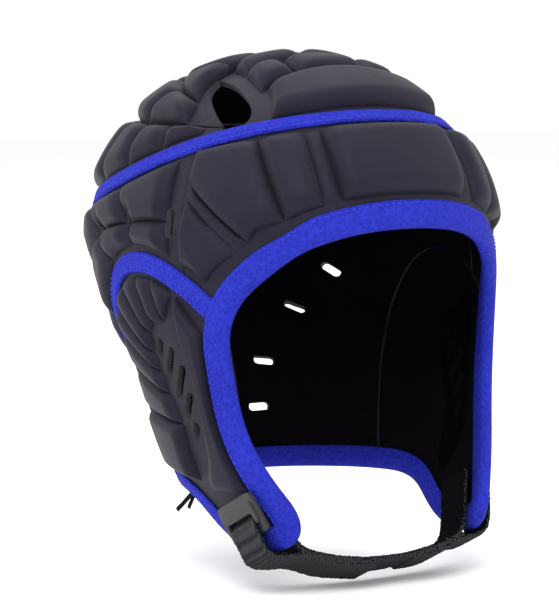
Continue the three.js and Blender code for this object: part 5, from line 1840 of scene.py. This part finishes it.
@dataclass
class Studio:
    """Camera, floor and lights.

    turn and tilt: where the camera stands, in degrees. distance: millimetres from the head's
    middle. scale: pixels a millimetre there. middle: pixel of the head's middle. floor_reach:
    half width of the floor in metres. LAMPS: place, size and power of each, in metres and watts.
    """

    turn: float = -32.0
    tilt: float = 5.0
    distance: float = 1300.0
    scale: float = 2.13
    middle: tuple[float, float] = (291.0, 234.0)
    picture: tuple[float, float] = (559.0, 600.0)
    sensor: float = 36.0
    far: float = 20.0
    floor_reach: float = 6.0

    AIM = (0, 0, -0.1)
    LAMPS = {
        "key": ((-1.1, -1.3, 1.5), 1.3, 34.0),
        "fill": ((1.6, -1.2, 0.7), 1.6, 10.0),
        "top": ((0.2, 0.5, 1.9), 1.6, 20.0),
        "rim": ((-1.6, 1.2, 0.8), 1.2, 12.0),
    }

    def camera(self) -> None:
        """A camera without roll, moved aside so that the head's middle lands on its pixel."""
        a, e = np.radians(self.turn), np.radians(self.tilt)
        right = np.array([np.cos(a), np.sin(a), 0])
        back = np.array([np.sin(a) * np.cos(e), -np.cos(a) * np.cos(e), np.sin(e)])
        up = np.cross(back, right)
        aside = (self.picture[0] / 2 - self.middle[0]) / self.scale
        above = (self.middle[1] - self.picture[1] / 2) / self.scale
        place = to_metres(back * self.distance + right * aside + up * above)
        data = bpy.data.cameras.new("camera")
        data.sensor_width = self.sensor
        data.lens = self.scale * self.distance * data.sensor_width / self.picture[1]
        data.clip_end = self.far
        made = bpy.data.objects.new("camera", data)
        turn = Matrix((right, up, back)).transposed().to_4x4()
        made.matrix_world = Matrix.Translation(Vector(place)) @ turn
        bpy.context.scene.collection.objects.link(made)
        bpy.context.scene.camera = made

    def floor(self, height: float) -> None:
        """A wide pale floor under the cap.

        Args:
            height: its height in metres.
        """
        ways = ((-1, -1), (1, -1), (1, 1), (-1, 1))
        corners = [(x * self.floor_reach, y * self.floor_reach, height) for x, y in ways]
        mesh = bpy.data.meshes.new("floor")
        mesh.from_pydata(corners, [], [(0, 1, 2, 3)])
        made = bpy.data.objects.new("floor", mesh)
        tree = Shader("floor_paper")
        tree.give("Base Color", (0.97, 0.97, 0.97, 1))
        tree.give("Roughness", 0.9)
        mesh.materials.append(tree.material)
        bpy.context.scene.collection.objects.link(made)
        made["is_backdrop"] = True

    def light(self, name: str, place: tuple, size: float, power: float) -> None:
        """A square soft light that looks at the cap.

        Args:
            name: its name.
            place: where it stands.
            size: its side.
            power: its power.
        """
        data = bpy.data.lights.new(name, "AREA")
        data.size, data.energy = size, power
        made = bpy.data.objects.new(name, data)
        made.location = place
        aim = Vector(self.AIM) - Vector(place)
        made.rotation_euler = aim.to_track_quat("-Z", "Y").to_euler()
        bpy.context.scene.collection.objects.link(made)

    def build(self) -> None:
        """Lights, world and colour."""
        for name, lamp in self.LAMPS.items():
            self.light(name, *lamp)
        world = bpy.data.worlds.new("studio")
        world.use_nodes = True
        sky = world.node_tree.nodes["Background"].inputs
        sky["Color"].default_value = (1, 1, 1, 1)
        sky["Strength"].default_value = 1.0
        bpy.context.scene.world = world
        bpy.context.scene.view_settings.view_transform = "Standard"


FLOOR_GAP = 0.002


def main() -> None:
    """Builds the camera, the cap and the studio."""
    logging.basicConfig(level=logging.INFO)
    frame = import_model()
    cad_box = [list(corner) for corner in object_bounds()]
    studio = Studio()
    studio.camera()
    Cap(frame["nodes"]).build()
    studio.floor(cad_box[0][2] - FLOOR_GAP)
    studio.build()


if __name__ == "__main__":
    main()
